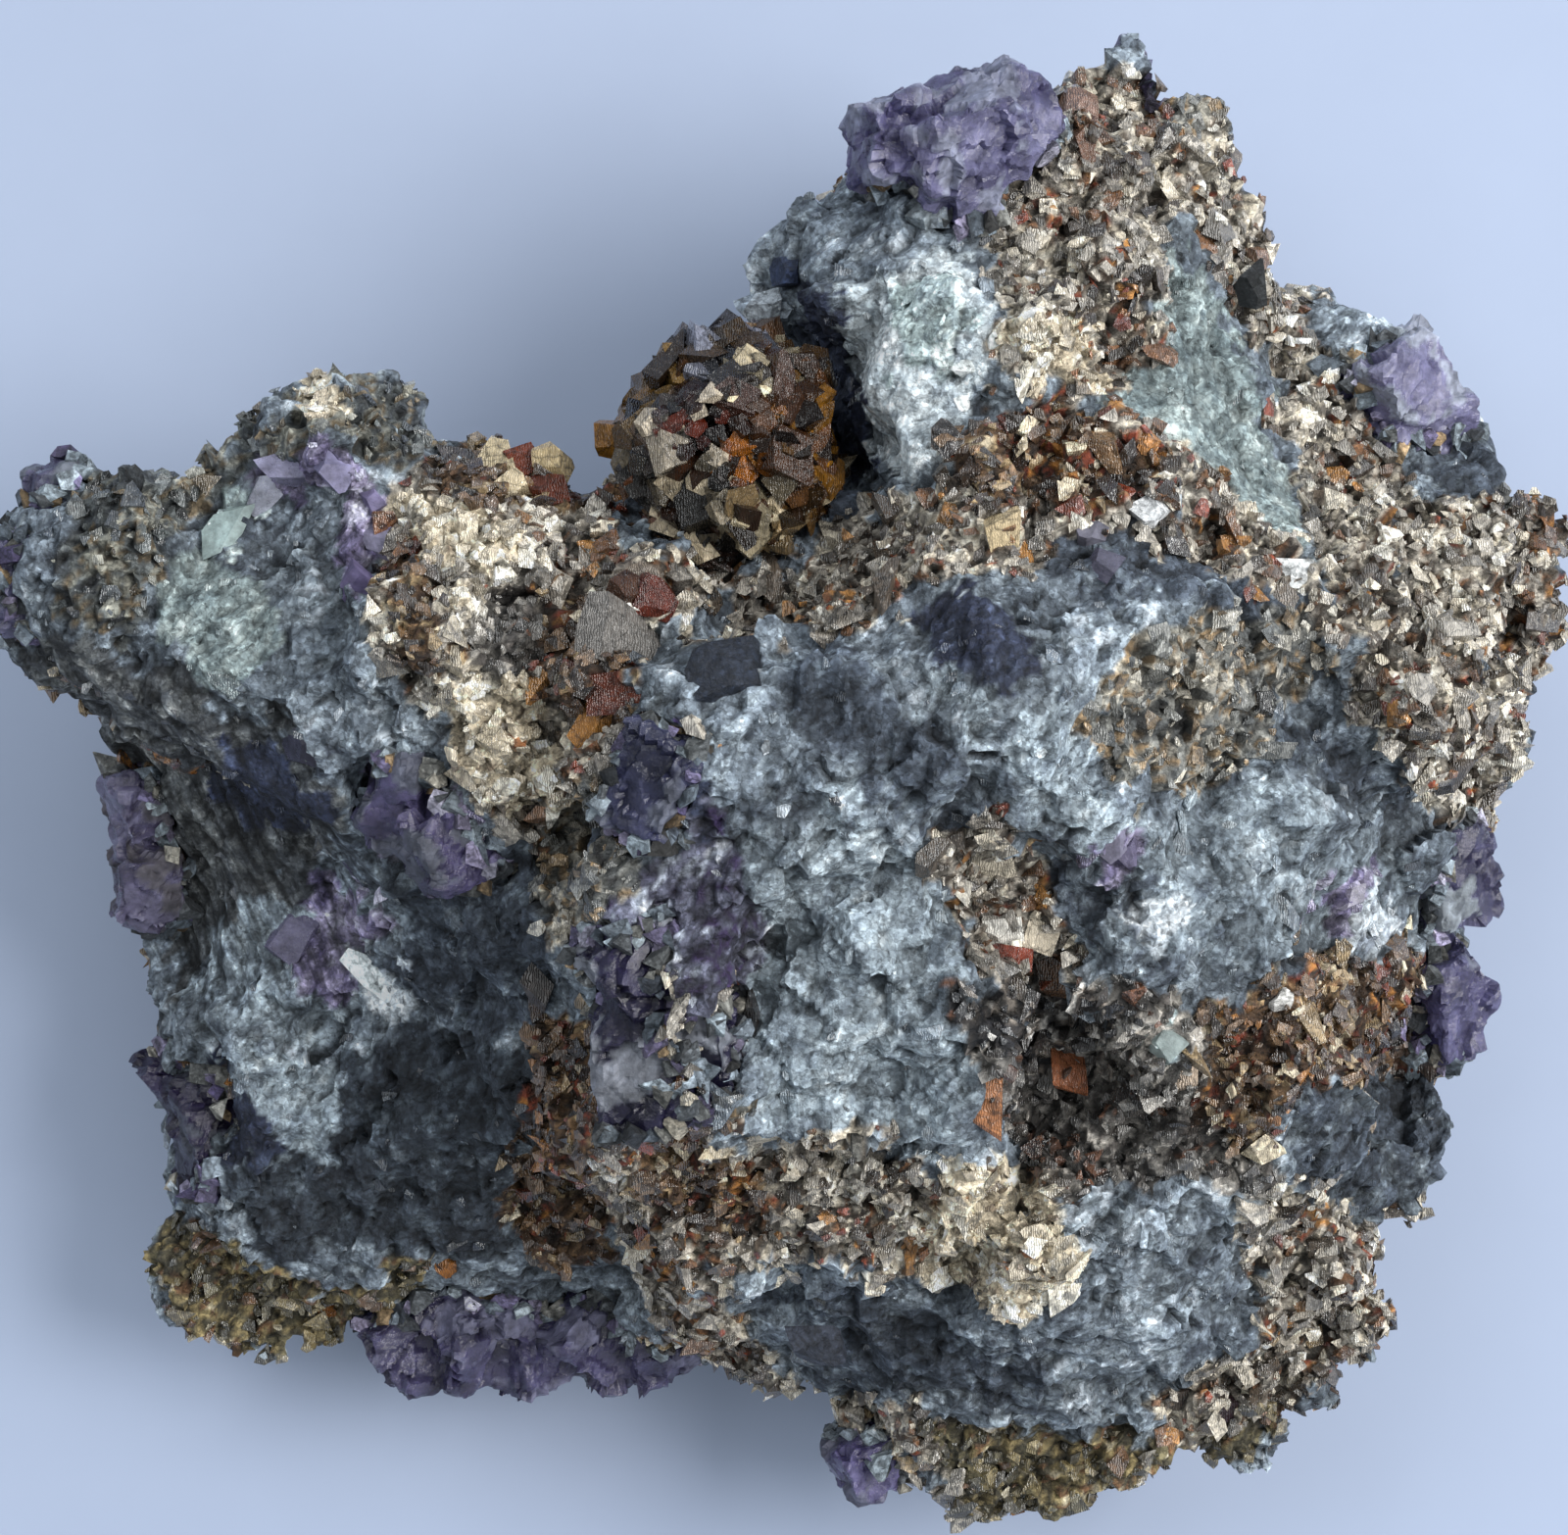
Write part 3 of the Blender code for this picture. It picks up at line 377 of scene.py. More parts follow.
# Single crystals: plan place, length, width and height, turn from the right, colour, kind.
CRYSTALS = [
    (652, 661, 12.0, 6.5, 3.6, -12, (104, 100, 96), "sphalerite"),
    (744, 677, 9.0, 8.0, 3.0, 20, (30, 36, 48), "rock"),
    (642, 706, 7.5, 4.0, 2.4, 5, (84, 38, 22), "sphalerite"),
    (655, 592, 4.6, 4.2, 3.4, 30, (124, 112, 100), "sphalerite"),
    (668, 612, 4.6, 3.8, 3.2, -15, (86, 34, 22), "sphalerite"),
    (632, 606, 3.6, 3.4, 2.8, 50, (70, 46, 34), "sphalerite"),
    (608, 738, 5.0, 4.6, 3.0, 60, (164, 112, 50), "sphalerite"),
    (995, 873, 6.5, 7.0, 4.0, 15, (186, 176, 158), "sphalerite"),
    (1024, 545, 3.6, 3.4, 3.0, 10, (196, 176, 140), "sphalerite"),
    (1038, 566, 3.4, 3.8, 2.8, 35, (158, 112, 62), "sphalerite"),
    (1180, 522, 5.2, 4.2, 2.8, 25, (214, 216, 218), "rock"),
    (1304, 581, 6.4, 4.4, 2.8, -20, (206, 208, 208), "rock"),
    (1104, 112, 3.8, 4.4, 3.0, -8, (126, 98, 84), "sphalerite"),
    (1110, 148, 3.4, 4.0, 2.8, 20, (104, 76, 62), "sphalerite"),
    (1312, 295, 4.0, 5.4, 3.0, 20, (38, 40, 42), "rock"),
    (870, 520, 5.6, 5.0, 3.4, 0, (86, 94, 108), "rock"),
    (986, 375, 3.0, 3.0, 1.6, 0, (222, 228, 228), "rock"),
    (985, 411, 2.5, 2.0, 1.4, 30, (222, 228, 228), "rock"),
    (1015, 351, 2.0, 2.7, 1.4, 0, (214, 220, 218), "rock"),
    (388, 1003, 10.5, 3.8, 2.4, -42, (206, 214, 216), "rock"),
    (333, 1332, 3.0, 2.8, 2.0, 0, (150, 92, 34), "sphalerite"),
    (456, 1293, 2.6, 2.4, 1.8, 0, (140, 88, 36), "sphalerite"),
    (832, 1454, 5.6, 4.5, 3.0, -15, (36, 40, 50), "rock"),
    (1010, 1116, 2.6, 8.0, 2.4, 0, (150, 98, 60), "sphalerite"),
    (1091, 1088, 3.4, 5.0, 2.4, 10, (164, 102, 70), "sphalerite"),
    (1209, 1095, 3.0, 4.5, 2.2, 0, (190, 170, 150), "sphalerite"),
    (1306, 1024, 2.6, 2.4, 1.8, 0, (208, 206, 202), "rock"),
    (1180, 1245, 5.2, 6.0, 2.6, 15, (156, 168, 180), "rock"),
    (1025, 950, 4.4, 3.2, 2.6, 10, (200, 196, 188), "sphalerite"),
    (1062, 956, 4.0, 3.2, 2.6, -20, (196, 184, 164), "sphalerite"),
    (1030, 978, 4.0, 3.2, 2.4, 0, (112, 50, 34), "sphalerite"),
    (1076, 988, 4.0, 3.0, 2.4, 15, (124, 62, 40), "sphalerite"),
    (1250, 1440, 3.2, 3.0, 2.0, 0, (46, 32, 38), "sphalerite"),
    (228, 538, 4.6, 6.8, 3.0, -25, (168, 186, 184), "fluorite"),
    (268, 502, 4.6, 4.0, 3.0, 30, (184, 186, 202), "fluorite"),
    (300, 478, 5.0, 3.6, 3.0, 10, (160, 158, 186), "fluorite"),
    (342, 478, 4.4, 4.2, 3.0, -20, (142, 138, 172), "fluorite"),
    (376, 508, 4.2, 4.6, 3.0, 40, (132, 124, 160), "fluorite"),
    (394, 556, 3.8, 5.0, 3.0, 5, (150, 146, 172), "fluorite"),
    (372, 598, 5.0, 3.6, 3.0, -35, (120, 110, 148), "fluorite"),
    (312, 764, 5.0, 6.4, 2.0, -40, (64, 62, 82), "fluorite"),
    (300, 950, 5.6, 7.0, 2.0, -50, (112, 108, 134), "fluorite"),
    (1132, 862, 3.4, 3.2, 2.6, 10, (136, 132, 154), "fluorite"),
    (1154, 872, 3.2, 2.8, 2.4, 50, (112, 106, 132), "fluorite"),
    (1380, 918, 3.6, 3.2, 2.4, 20, (160, 156, 174), "fluorite"),
    (1116, 548, 3.6, 3.4, 2.6, 0, (116, 114, 128), "fluorite"),
    (1130, 574, 3.2, 3.6, 2.6, 40, (96, 94, 112), "fluorite"),
    (1192, 1066, 3.4, 3.8, 2.6, 20, (156, 168, 166), "fluorite"),
    (803, 274, 4.0, 4.0, 5.0, 10, (40, 50, 74), "rock"),
    (788, 316, 5.0, 4.4, 4.0, 20, (146, 156, 166), "rock"),
    (764, 326, 4.2, 3.6, 3.4, -10, (176, 184, 192), "rock"),
    (622, 452, 5.0, 3.8, 3.4, 10, (134, 90, 24), "sphalerite"),
    (584, 459, 4.2, 3.4, 3.0, -20, (176, 156, 118), "sphalerite"),
    (541, 463, 3.8, 3.4, 2.8, 30, (104, 46, 24), "sphalerite"),
    (502, 470, 4.2, 3.4, 2.8, 0, (182, 166, 134), "sphalerite"),
    (562, 500, 4.4, 3.6, 3.0, 15, (84, 38, 22), "sphalerite"),
    (522, 492, 3.4, 3.0, 2.6, 50, (190, 174, 144), "sphalerite"),
]

# Grains: name, spacing, least and greatest size, share of the places taken in the grainy
# minerals and in all the others.
GRAIN_SIZES = [
    ("grains_large", 4.6, 2.2, 3.8, 0.20, 0.0),
    ("grains_middle", 2.1, 1.2, 2.4, 0.62, 0.02),
    ("grains_small", 1.2, 0.7, 1.5, 0.62, 0.03),
]
# The knob's crystals: name, spacing, least and greatest size, and how deep they sit.
KNOB_CRYSTALS = [
    ("knob_crystals", 3.6, 3.8, 5.8, 0.22),
    ("knob_middle", 2.4, 2.0, 3.4, 0.12),
    ("knob_grains", 2.4, 0.9, 1.8, 0.05),
]
# Lights: place and width in metres, power and colour.
LIGHTS = {
    "window": ((0.70, 0.14, 0.80), 0.60, 11.8, (1.0, 0.985, 0.96)),
    "fill": ((-0.5, 0.5, 0.9), 0.9, 4.0, (0.92, 0.96, 1.0)),
}
PAPER_SIZE = 3.0
PAPER_GAP = 0.0003
BRIGHTEST = 0.88
ROCK_IOR = 1.6
SPHALERITE_IOR = 2.37
FLUORITE_IOR = 1.434
FLUORITE_ABSORBS = (0.40, 0.30, 0.72, 1)
FLUORITE_DENSITY = 110
PAPER = [(0.302, 0.354, 0.474), (0.328, 0.384, 0.510)]
# The light from the room: by how far a direction turns to the bright side, and a share of
# that by height, dim straight above.
BRIGHT_SIDE = (0.76, 0.32, 0.55)
SKY = (0.90, 0.96, 1.0, 1)
ROOM_LIGHT = [(0.30, 0.43), (0.60, 0.78), (0.90, 1.34)]
OVERHEAD = [(0.80, 1.0), (0.95, 0.5)]

# The dark concave break on the left, and the way its fine ridges run.
HOLLOW = [(5, 648), (110, 662), (250, 700), (345, 775), (395, 900), (350, 1010), (240, 1060),
          (150, 1000), (110, 850)]
HOLLOW_RUN = (0.40, -0.91, 0.0)

# The knob's colours by plan place: (across, down, reach) and the colours picked from.
# The pale beige colours are painted reflections: light reflected by cleavage faces. The rest are the
# crystals' own colours.
KNOB_TINTS = [
    ((715, 345, 44), [(98, 100, 112), (60, 58, 64), (112, 88, 62), (60, 40, 24)]),
    ((765, 385, 28), [(206, 190, 158), (110, 80, 44), (44, 24, 14)]),
    ((700, 425, 44), [(52, 14, 8), (74, 24, 10), (24, 10, 8), (160, 148, 130)]),
    ((765, 440, 40), [(104, 58, 10), (70, 34, 8), (122, 76, 14), (36, 16, 8)]),
    ((830, 455, 34), [(120, 80, 20), (74, 42, 12), (40, 22, 10)]),
    ((655, 390, 34), [(92, 70, 34), (50, 36, 24), (104, 74, 26)]),
    ((812, 492, 28), [(196, 178, 146), (96, 68, 32), (60, 38, 18)]),
    ((690, 520, 56), [(20, 12, 8), (40, 22, 12), (14, 10, 8), (62, 34, 16), (160, 146, 122)]),
    ((778, 552, 28), [(210, 194, 160), (150, 126, 90), (48, 30, 16)]),
    ((745, 610, 44), [(22, 12, 8), (40, 20, 10)]),
]


def plan_of(points):
    """Plan places of points in space."""
    spread = (EYE_HEIGHT - SIGHT_LEVEL) / (EYE_HEIGHT - points[:, 2])
    across = (points[:, 0] * spread - PLAN_LEFT) * 10
    down = (PLAN_TOP - points[:, 1] * spread) * 10
    return np.stack([across, down], axis=1)


def depth_inside(places, corners):
    """How far, in tenths of a millimetre, each place lies inside the corners, or -1e3."""
    corners = np.asarray(corners, float)
    reach = 30.0
    low, high = corners.min(0) - reach, corners.max(0) + reach
    near = np.where(((places > low) & (places < high)).all(axis=1))[0]
    found = np.full(len(places), -1e3)
    if not len(near):
        return found
    p = places[near]
    gap = np.full(len(near), 1e9)
    crossings = np.zeros(len(near), bool)
    for i in range(len(corners)):
        a, b = corners[i - 1], corners[i]
        run = b - a
        t = np.clip(((p - a) @ run) / (run @ run), 0, 1)
        gap = np.minimum(gap, np.hypot(*(p - a - t[:, None] * run).T))
        straddles = (a[1] > p[:, 1]) != (b[1] > p[:, 1])
        if a[1] != b[1]:
            at = a[0] + (p[:, 1] - a[1]) * run[0] / run[1]
            crossings ^= straddles & (p[:, 0] < at)
    found[near] = np.where(crossings, gap, -gap)
    return found


def mineral_map(points, low_share):
    """Which mineral each point shows, as its number in the list of names."""
    names = list(MINERALS)
    number = np.full(len(points), names.index("slate"))
    wobble = np.stack([clouds(points, 5.0, 3, 40), clouds(points, 5.0, 3, 50)], axis=1)
    places = plan_of(points) + 19 * wobble
    ragged = 13 * smooth_noise(points / 1.5, 60)
    for mineral, corners in AREAS:
        number[depth_inside(places, corners) + ragged > 0] = names.index(mineral)
    # Below the edge, where nothing is seen from above, the minerals lie in clouds.
    hidden = low_share + 0.35 * clouds(points, 9.0, 2, 70) > 0.5
    body = clouds(points, 26.0, 3, 80)
    lower = np.full(len(points), names.index("slate"))
    lower[body > 0.12] = names.index("flaky")
    lower[body > 0.42] = names.index("brown")
    lower[body < -0.35] = names.index("dark")
    patches = clouds(points, 17.0, 3, 90)
    lower[(patches > 0.5) & (body < 0.12)] = names.index("pale")
    lower[(patches < -0.52) & (body < 0.2)] = names.index("lilac")
    lower[(patches < -0.3) & (body > 0.12)] = names.index("mottle")
    number[hidden] = lower[hidden]
    return number


def mineral_values(number, table):
    values = np.array([table.get(name, 0.0) for name in MINERALS])
    return values[number]


def picked_colour(number, chance):
    """The colour in each point's mineral that a number from 0 to 1 picks."""
    colour = np.zeros((len(number), 3))
    for i, mix in enumerate(MINERALS.values()):
        mine = np.where(number == i)[0]
        edges = np.cumsum([share for share, _ in mix])[:-1]
        colours = linear([c for _, c in mix])
        colour[mine] = colours[np.searchsorted(edges, chance[mine])]
    return colour


# Meshes


def remeshed(source, voxel):
    """Corners in millimetres and four-sided faces of an even mesh over a CAD node."""
    mesh = source.data.copy()
    made = bpy.data.objects.new("even", mesh)
    bpy.context.scene.collection.objects.link(made)
    even = made.modifiers.new("even", "REMESH")
    even.mode = "VOXEL"
    even.voxel_size = voxel * MM
    graph = bpy.context.evaluated_depsgraph_get()
    result = made.evaluated_get(graph).to_mesh()
    points = np.empty(len(result.vertices) * 3)
    result.vertices.foreach_get("co", points)
    faces = np.empty(len(result.loops), np.int64)
    result.loops.foreach_get("vertex_index", faces)
    bpy.data.objects.remove(made)
    return points.reshape(-1, 3) / MM, faces.reshape(-1, 4)


def edges_of(faces):
    pairs = np.concatenate([faces[:, [i, (i + 1) % faces.shape[1]]] for i in range(faces.shape[1])])
    return np.unique(np.sort(pairs, axis=1), axis=0)


def averaged(points, edges, rounds):
    """Points moved half-way to the mean of their neighbours, so many times."""
    count = len(points)
    weight = np.bincount(edges.ravel(), minlength=count)[:, None]
    for _ in range(rounds):
        total = np.zeros_like(points)
        for axis in range(points.shape[1]):
            total[:, axis] = np.bincount(edges[:, 0], points[edges[:, 1], axis], count)
            total[:, axis] += np.bincount(edges[:, 1], points[edges[:, 0], axis], count)
        points = points + 0.5 * (total / weight - points)
    return points


def unit(vectors):
    return vectors / np.maximum(np.linalg.norm(vectors, axis=1), 1e-9)[:, None]


def corner_normals(points, faces):
    across = points[faces[:, 2]] - points[faces[:, 0]]
    along = points[faces[:, 3]] - points[faces[:, 1]]
    facing = np.cross(across, along)
    total = np.zeros_like(points)
    for corner in range(4):
        for axis in range(3):
            total[:, axis] += np.bincount(faces[:, corner], facing[:, axis], len(points))
    return unit(total)


def build_mesh(name, points, faces, colours, finish):
    """An object from corners in millimetres, with a colour and a finish for each."""
    mesh = bpy.data.meshes.new(name)
    sides = faces.shape[1]
    mesh.vertices.add(len(points))
    mesh.vertices.foreach_set("co", (points * MM).ravel())
    mesh.loops.add(faces.size)
    mesh.loops.foreach_set("vertex_index", faces.ravel().astype(np.int32))
    mesh.polygons.add(len(faces))
    mesh.polygons.foreach_set("loop_start", np.arange(0, faces.size, sides, dtype=np.int32))
    mesh.polygons.foreach_set("use_smooth", np.zeros(len(faces), bool))
    for label, values in (("tint", colours), ("finish", finish)):
        data = np.ones((len(points), 4))
        data[:, :3] = values
        layer = mesh.attributes.new(label, "FLOAT_COLOR", "POINT")
        layer.data.foreach_set("color", data.ravel())
    mesh.update(calc_edges=True)
    made = bpy.data.objects.new(name, mesh)
    bpy.context.scene.collection.objects.link(made)
    return made


def split_faces(points, faces, most):
    """The mesh as parts of at most so many faces, each with its own corners."""
    order = np.argsort(points[faces[:, 0], 0], kind="stable")
    parts = np.array_split(order, math.ceil(len(faces) / most))
    for part in parts:
        used, inverse = np.unique(faces[part], return_inverse=True)
        yield used, inverse.reshape(-1, faces.shape[1])


# The rock


def along_hollow(points, salt):
    """Noise drawn out into fine ridges that run down the hollow."""
    run = np.array(HOLLOW_RUN) / np.linalg.norm(HOLLOW_RUN)
    along = (points @ run)[:, None] * run
    return smooth_noise((points - along) / 0.9 + along / 9.0, salt)


def rock_surface():
    """Corners, faces, normals, minerals, colours and finishes of the lump's rough surface."""
    points, faces = remeshed(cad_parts["rock"], VOXEL)
    edges = edges_of(faces)
    points = averaged(points, edges, 4)
    normals = unit(averaged(corner_normals(points, faces), edges, 3))
    low_share = np.clip((0.1 - normals[:, 2]) * 1.2 + 0.3, 0, 1)
    low_share = np.where(points[:, 2] < HIDDEN_BELOW, 1.0, low_share)
    number = mineral_map(points, low_share)
    faceted = averaged(mineral_values(number, FACETED)[:, None], edges, 2)[:, 0]
    lively = 1 - averaged(mineral_values(number, CALM)[:, None], edges, 2)[:, 0]
    in_hollow = np.clip(depth_inside(plan_of(points), HOLLOW) / 25, 0, 1)
    in_hollow *= np.clip(normals[:, 2] * 3 + 1, 0, 1)
    ridges = in_hollow * along_hollow(points, 195)
    large, middle, small = (cells(points, BREAKS[i], 100 + 20 * i) for i in range(3))
    push = flat_break(points, large, 0.50, 0.18)
    push += flat_break(points, middle, 0.13 + 0.21 * faceted, 0.24 + 0.18 * faceted)
    push += flat_break(points, small, 0.06 + 0.16 * faceted, 0.18 + 0.36 * faceted)
    push += 0.16 * clouds(points, 1.5, 2, 160)
    cracks = np.clip(1 - middle[2] / 0.5, 0, 1) * (middle[1][:, 1] > 0.35)
    push -= (0.15 + 0.20 * faceted) * cracks
    push *= lively * (1 - 0.55 * in_hollow)
    push += 0.42 * ridges
    push[points[:, 2] < FLAT_BELOW] = 0.0
    soft = clouds(points, 4.2, 3, 170)
    fine = lattice_random(np.floor(points / 0.8).astype(np.int64), 180)
    chance = 0.5 - 0.30 * soft + 0.46 * (fine - 0.5) + 0.40 * (small[1][:, 3] - 0.5)
    colour = picked_colour(number, np.clip(chance, 0, 0.9999))
    shade = 0.16 * clouds(points, 12.0, 2, 190) + 0.46 * (middle[1][:, 3] - 0.5)
    shade += 0.24 * np.tanh(2.5 * clouds(points, 6.5, 3, 197)) * (1 - faceted)
    # Random tone by small facet, and painted shade: darker along the cracks, where the surface is
    # pushed in.
    shade += 0.40 * (small[1][:, 2] - 0.5) - 0.3 * cracks
    # Painted light and shade: the hollow's ridges are lighter on their crests and darker between them.
    shade = 1.14 + lively * shade + 0.8 * ridges
    colour *= np.clip(shade, 0.3, 1.8)[:, None]
    moved = points + normals * push[:, None]
    moved[:, 2] = np.maximum(moved[:, 2], 0.0)
    # Painted shade and highlight: the colour is darkened where the surface lies sunk below its
    # neighbours, in crevices and hollows, and lightened a little where it stands proud.
    sunk_for_painted_light = ((averaged(moved, edges, 12) - moved) * normals).sum(axis=1)
    colour *= np.clip(1 - 1.1 * np.clip(sunk_for_painted_light, -0.2, 1.0), 0.25, 1.2)[:, None]
    gloss = mineral_values(number, GLOSS)
    finish = np.stack([gloss, in_hollow, in_hollow], axis=1)
    return moved, faces, normals, number, colour, finish


class Wiring:
    """Short ways to add nodes to a material or a world."""

    def __init__(self, owner, place="Object"):
        owner.use_nodes = True
        self.owner = owner
        self.tree = owner.node_tree
        self.place = self.node("TexCoord", {}).outputs[place]

    def feed(self, sockets, values):
        """A value, or another node's result, for each of the sockets named."""
        for name, value in values.items():
            if isinstance(value, bpy.types.NodeSocket):
                self.tree.links.new(value, sockets[name])
            else:
                sockets[name].default_value = value

    def surface(self, values):
        self.feed(self.tree.nodes["Principled BSDF"].inputs, values)

    def node(self, kind, values, **settings):
        made = self.tree.nodes.new("ShaderNode" + kind)
        for name, value in settings.items():
            setattr(made, name, value)
        self.feed(made.inputs, values)
        return made

    def math(self, operation, one, other):
        return self.node("Math", {0: one, 1: other}, operation=operation).outputs[0]

    def vector(self, operation, *values):
        return self.node("VectorMath", dict(enumerate(values)), operation=operation).outputs[0]

    def attribute(self, name):
        return self.node("Attribute", {}, attribute_name=name).outputs["Color"]

    def parts(self, colour):
        return self.node("SeparateColor", {0: colour}).outputs

    def noise(self, scale, detail, roughness=0.6):
        values = {"Scale": scale, "Detail": detail, "Roughness": roughness, "Vector": self.place}
        return self.node("TexNoise", values).outputs["Fac"]

    def warped(self, scale, warp):
        """The place moved about by noise, by at most half the warp, in metres."""
        values = {"Scale": scale, "Detail": 3, "Vector": self.place}
        wander = self.node("TexNoise", values).outputs["Color"]
        return self.vector("MULTIPLY_ADD", wander, (warp, warp, warp), self.place)

    def specks(self, scale, warp=0.0):
        """A random colour in each cell, with cell edges that wander by the warp, in metres."""
        place = self.warped(scale * 1.3, warp) if warp else self.place
        return self.node("TexVoronoi", {"Scale": scale, "Vector": place}).outputs["Color"]

    def cracks(self, scale, warp):
        """How far each place is from the edges of cells, in cell widths."""
        values = {"Scale": scale, "Vector": self.warped(scale * 1.3, warp)}
        return self.node("TexVoronoi", values, feature="DISTANCE_TO_EDGE").outputs["Distance"]

    def streaks(self, scale, run, drawn_out):
        """Noise drawn out along a direction in the plane."""
        turn = (0, 0, math.atan2(run[1], run[0]))
        values = {"Rotation": turn, "Scale": (drawn_out, 1, 1), "Vector": self.place}
        turned = self.node("Mapping", values, vector_type="TEXTURE").outputs[0]
        return self.node("TexNoise", {"Scale": scale, "Detail": 5, "Vector": turned}).outputs["Fac"]

    def curve(self, value, stops):
        """A value led through stops of (position, result), results up to 4."""
        node = self.node("ValToRGB", {0: value})
        ramp = node.color_ramp
        while len(ramp.elements) < len(stops):
            ramp.elements.new(0.5)
        for element, (position, result) in zip(ramp.elements, stops):
            element.position = position
            element.color = (result / 4, result / 4, result / 4, 1)
        return self.math("MULTIPLY", node.outputs[0], 4.0)

    def scaled(self, colour, factor):
        made = self.node("VectorMath", {0: colour, "Scale": factor}, operation="SCALE")
        return self.vector("MINIMUM", made.outputs[0], (BRIGHTEST, BRIGHTEST, BRIGHTEST))

    def bump(self, height, distance):
        values = {"Strength": 1.0, "Distance": distance, "Height": height}
        return self.node("Bump", values).outputs[0]

    def tilted(self, normal, specks, amount):
        """The normal turned a little another way in each speck."""
        shift = self.vector("SUBTRACT", specks, (0.5, 0.5, 0.5))
        return self.vector("NORMALIZE", self.vector("MULTIPLY_ADD", shift, (amount,) * 3, normal))


def rock_material():
    wiring = Wiring(bpy.data.materials.new("broken_rock"))
    gloss, in_hollow, _ = wiring.parts(wiring.attribute("finish"))
    speck = wiring.parts(wiring.specks(2600))
    fine = wiring.noise(1100, 7, 0.72)
    flakes = wiring.specks(950, 0.0011)
    flake = wiring.parts(flakes)
    # Painted shade: darker along thin crevices at the cell edges, which the bump also sinks.
    crack = wiring.curve(wiring.cracks(620, 0.0016), [(0.0, 0.62), (0.04, 0.9), (0.08, 1.03)])
    streak = wiring.curve(wiring.streaks(1100, HOLLOW_RUN, 9.0), [(0.36, 0.4), (0.62, 1.7)])
    streak = wiring.math("MULTIPLY", wiring.math("SUBTRACT", streak, 1.0), in_hollow)
    bright = wiring.curve(speck[0], [(0.0, 0.5), (0.15, 0.8), (0.5, 0.98), (0.82, 1.1),
                                     (0.94, 1.35), (1.0, 1.7)])
    for factor in (
        wiring.curve(fine, [(0.36, 0.62), (0.47, 0.94), (0.55, 1.08), (0.64, 1.34)]),
        wiring.curve(flake[0], [(0.0, 0.70), (1.0, 1.30)]),
        crack,
        wiring.math("ADD", streak, 1.0),
    ):
        bright = wiring.math("MULTIPLY", bright, factor)
    rough = wiring.curve(gloss, [(0.0, 0.7), (1.0, 0.36)])
    height = wiring.math("ADD", fine, wiring.math("MULTIPLY", crack, 0.2))
    wiring.surface({
        "Base Color": wiring.scaled(wiring.attribute("tint"), bright),
        "Roughness": wiring.math("ADD", rough, wiring.curve(speck[1], [(0.0, 0.0), (1.0, 0.2)])),
        "IOR": ROCK_IOR,
        "Specular IOR Level": 0.3,
        "Normal": wiring.tilted(wiring.bump(height, 0.0005), flakes, 0.45),
    })
    return wiring.owner


# Grains and crystals


def cut_shape(facing, reach):
    """The convex solid within planes, as corners and triangles about the origin, or None."""
    corners = []
    for i in range(len(facing)):
        for j in range(i + 1, len(facing)):
            for k in range(j + 1, len(facing)):
                three = facing[[i, j, k]]
                if abs(np.linalg.det(three)) < 0.05:
                    continue
                corner = np.linalg.solve(three, reach[[i, j, k]])
                if (facing @ corner <= reach + 1e-6).all():
                    corners.append(corner)
    if len(corners) < 5 or np.abs(corners).max() > 0.9:
        return None
    bm = bmesh.new()
    verts = [bm.verts.new(c) for c in corners]
    bmesh.ops.remove_doubles(bm, verts=verts, dist=0.02)
    hull = bmesh.ops.convex_hull(bm, input=bm.verts[:], use_existing_faces=False)
    spare = [v for v in hull["geom_interior"] if isinstance(v, bmesh.types.BMVert)]
    bmesh.ops.delete(bm, geom=spare, context="VERTS")
    bmesh.ops.recalc_face_normals(bm, faces=bm.faces)
    bm.verts.index_update()
    shape = np.array([v.co[:] for v in bm.verts])
    triangles = np.array([[v.index for v in f.verts] for f in bm.faces])
    bm.free()
    return shape, triangles


def grain_shapes(count, sides, random_source):
    """Crystals of a few flat faces that look every way."""
    shapes = []
    while len(shapes) < count:
        facing = random_source.normal(size=(sides, 3))
        facing /= np.linalg.norm(facing, axis=1)[:, None]
        for _ in range(12):
            away = facing[:, None] - facing[None]
            apart = np.maximum((away**2).sum(-1), 0.05)
            facing += 0.03 * (away / apart[..., None]).sum(1)
            facing /= np.linalg.norm(facing, axis=1)[:, None]
        shape = cut_shape(facing, random_source.uniform(0.3, 0.5, sides))
        if shape:
            shapes.append(shape)
    return shapes


def block_shapes(count, random_source):
    """Cleavage blocks: six near-square faces and a few cut corners."""
    shapes = []
    while len(shapes) < count:
        corners = random_source.normal(size=(4, 3))
        facing = np.concatenate([np.eye(3), -np.eye(3), corners])
        facing += 0.14 * random_source.normal(size=facing.shape)
        facing /= np.linalg.norm(facing, axis=1)[:, None]
        reach = random_source.uniform(0.40, 0.52, len(facing))
        shape = cut_shape(facing, reach)
        if shape:
            shapes.append(shape)
    return shapes


def leaning_turns(normals, lean, random_source, aims=None):
    """Rotations that lay crystals on the surface, each spun and tilted its own way."""
    up = unit(normals + lean * random_source.normal(size=normals.shape))
    aims = random_source.normal(size=up.shape) if aims is None else aims
    side = unit(np.cross(up, aims))
    return np.stack([np.cross(side, up), side, up], axis=2)


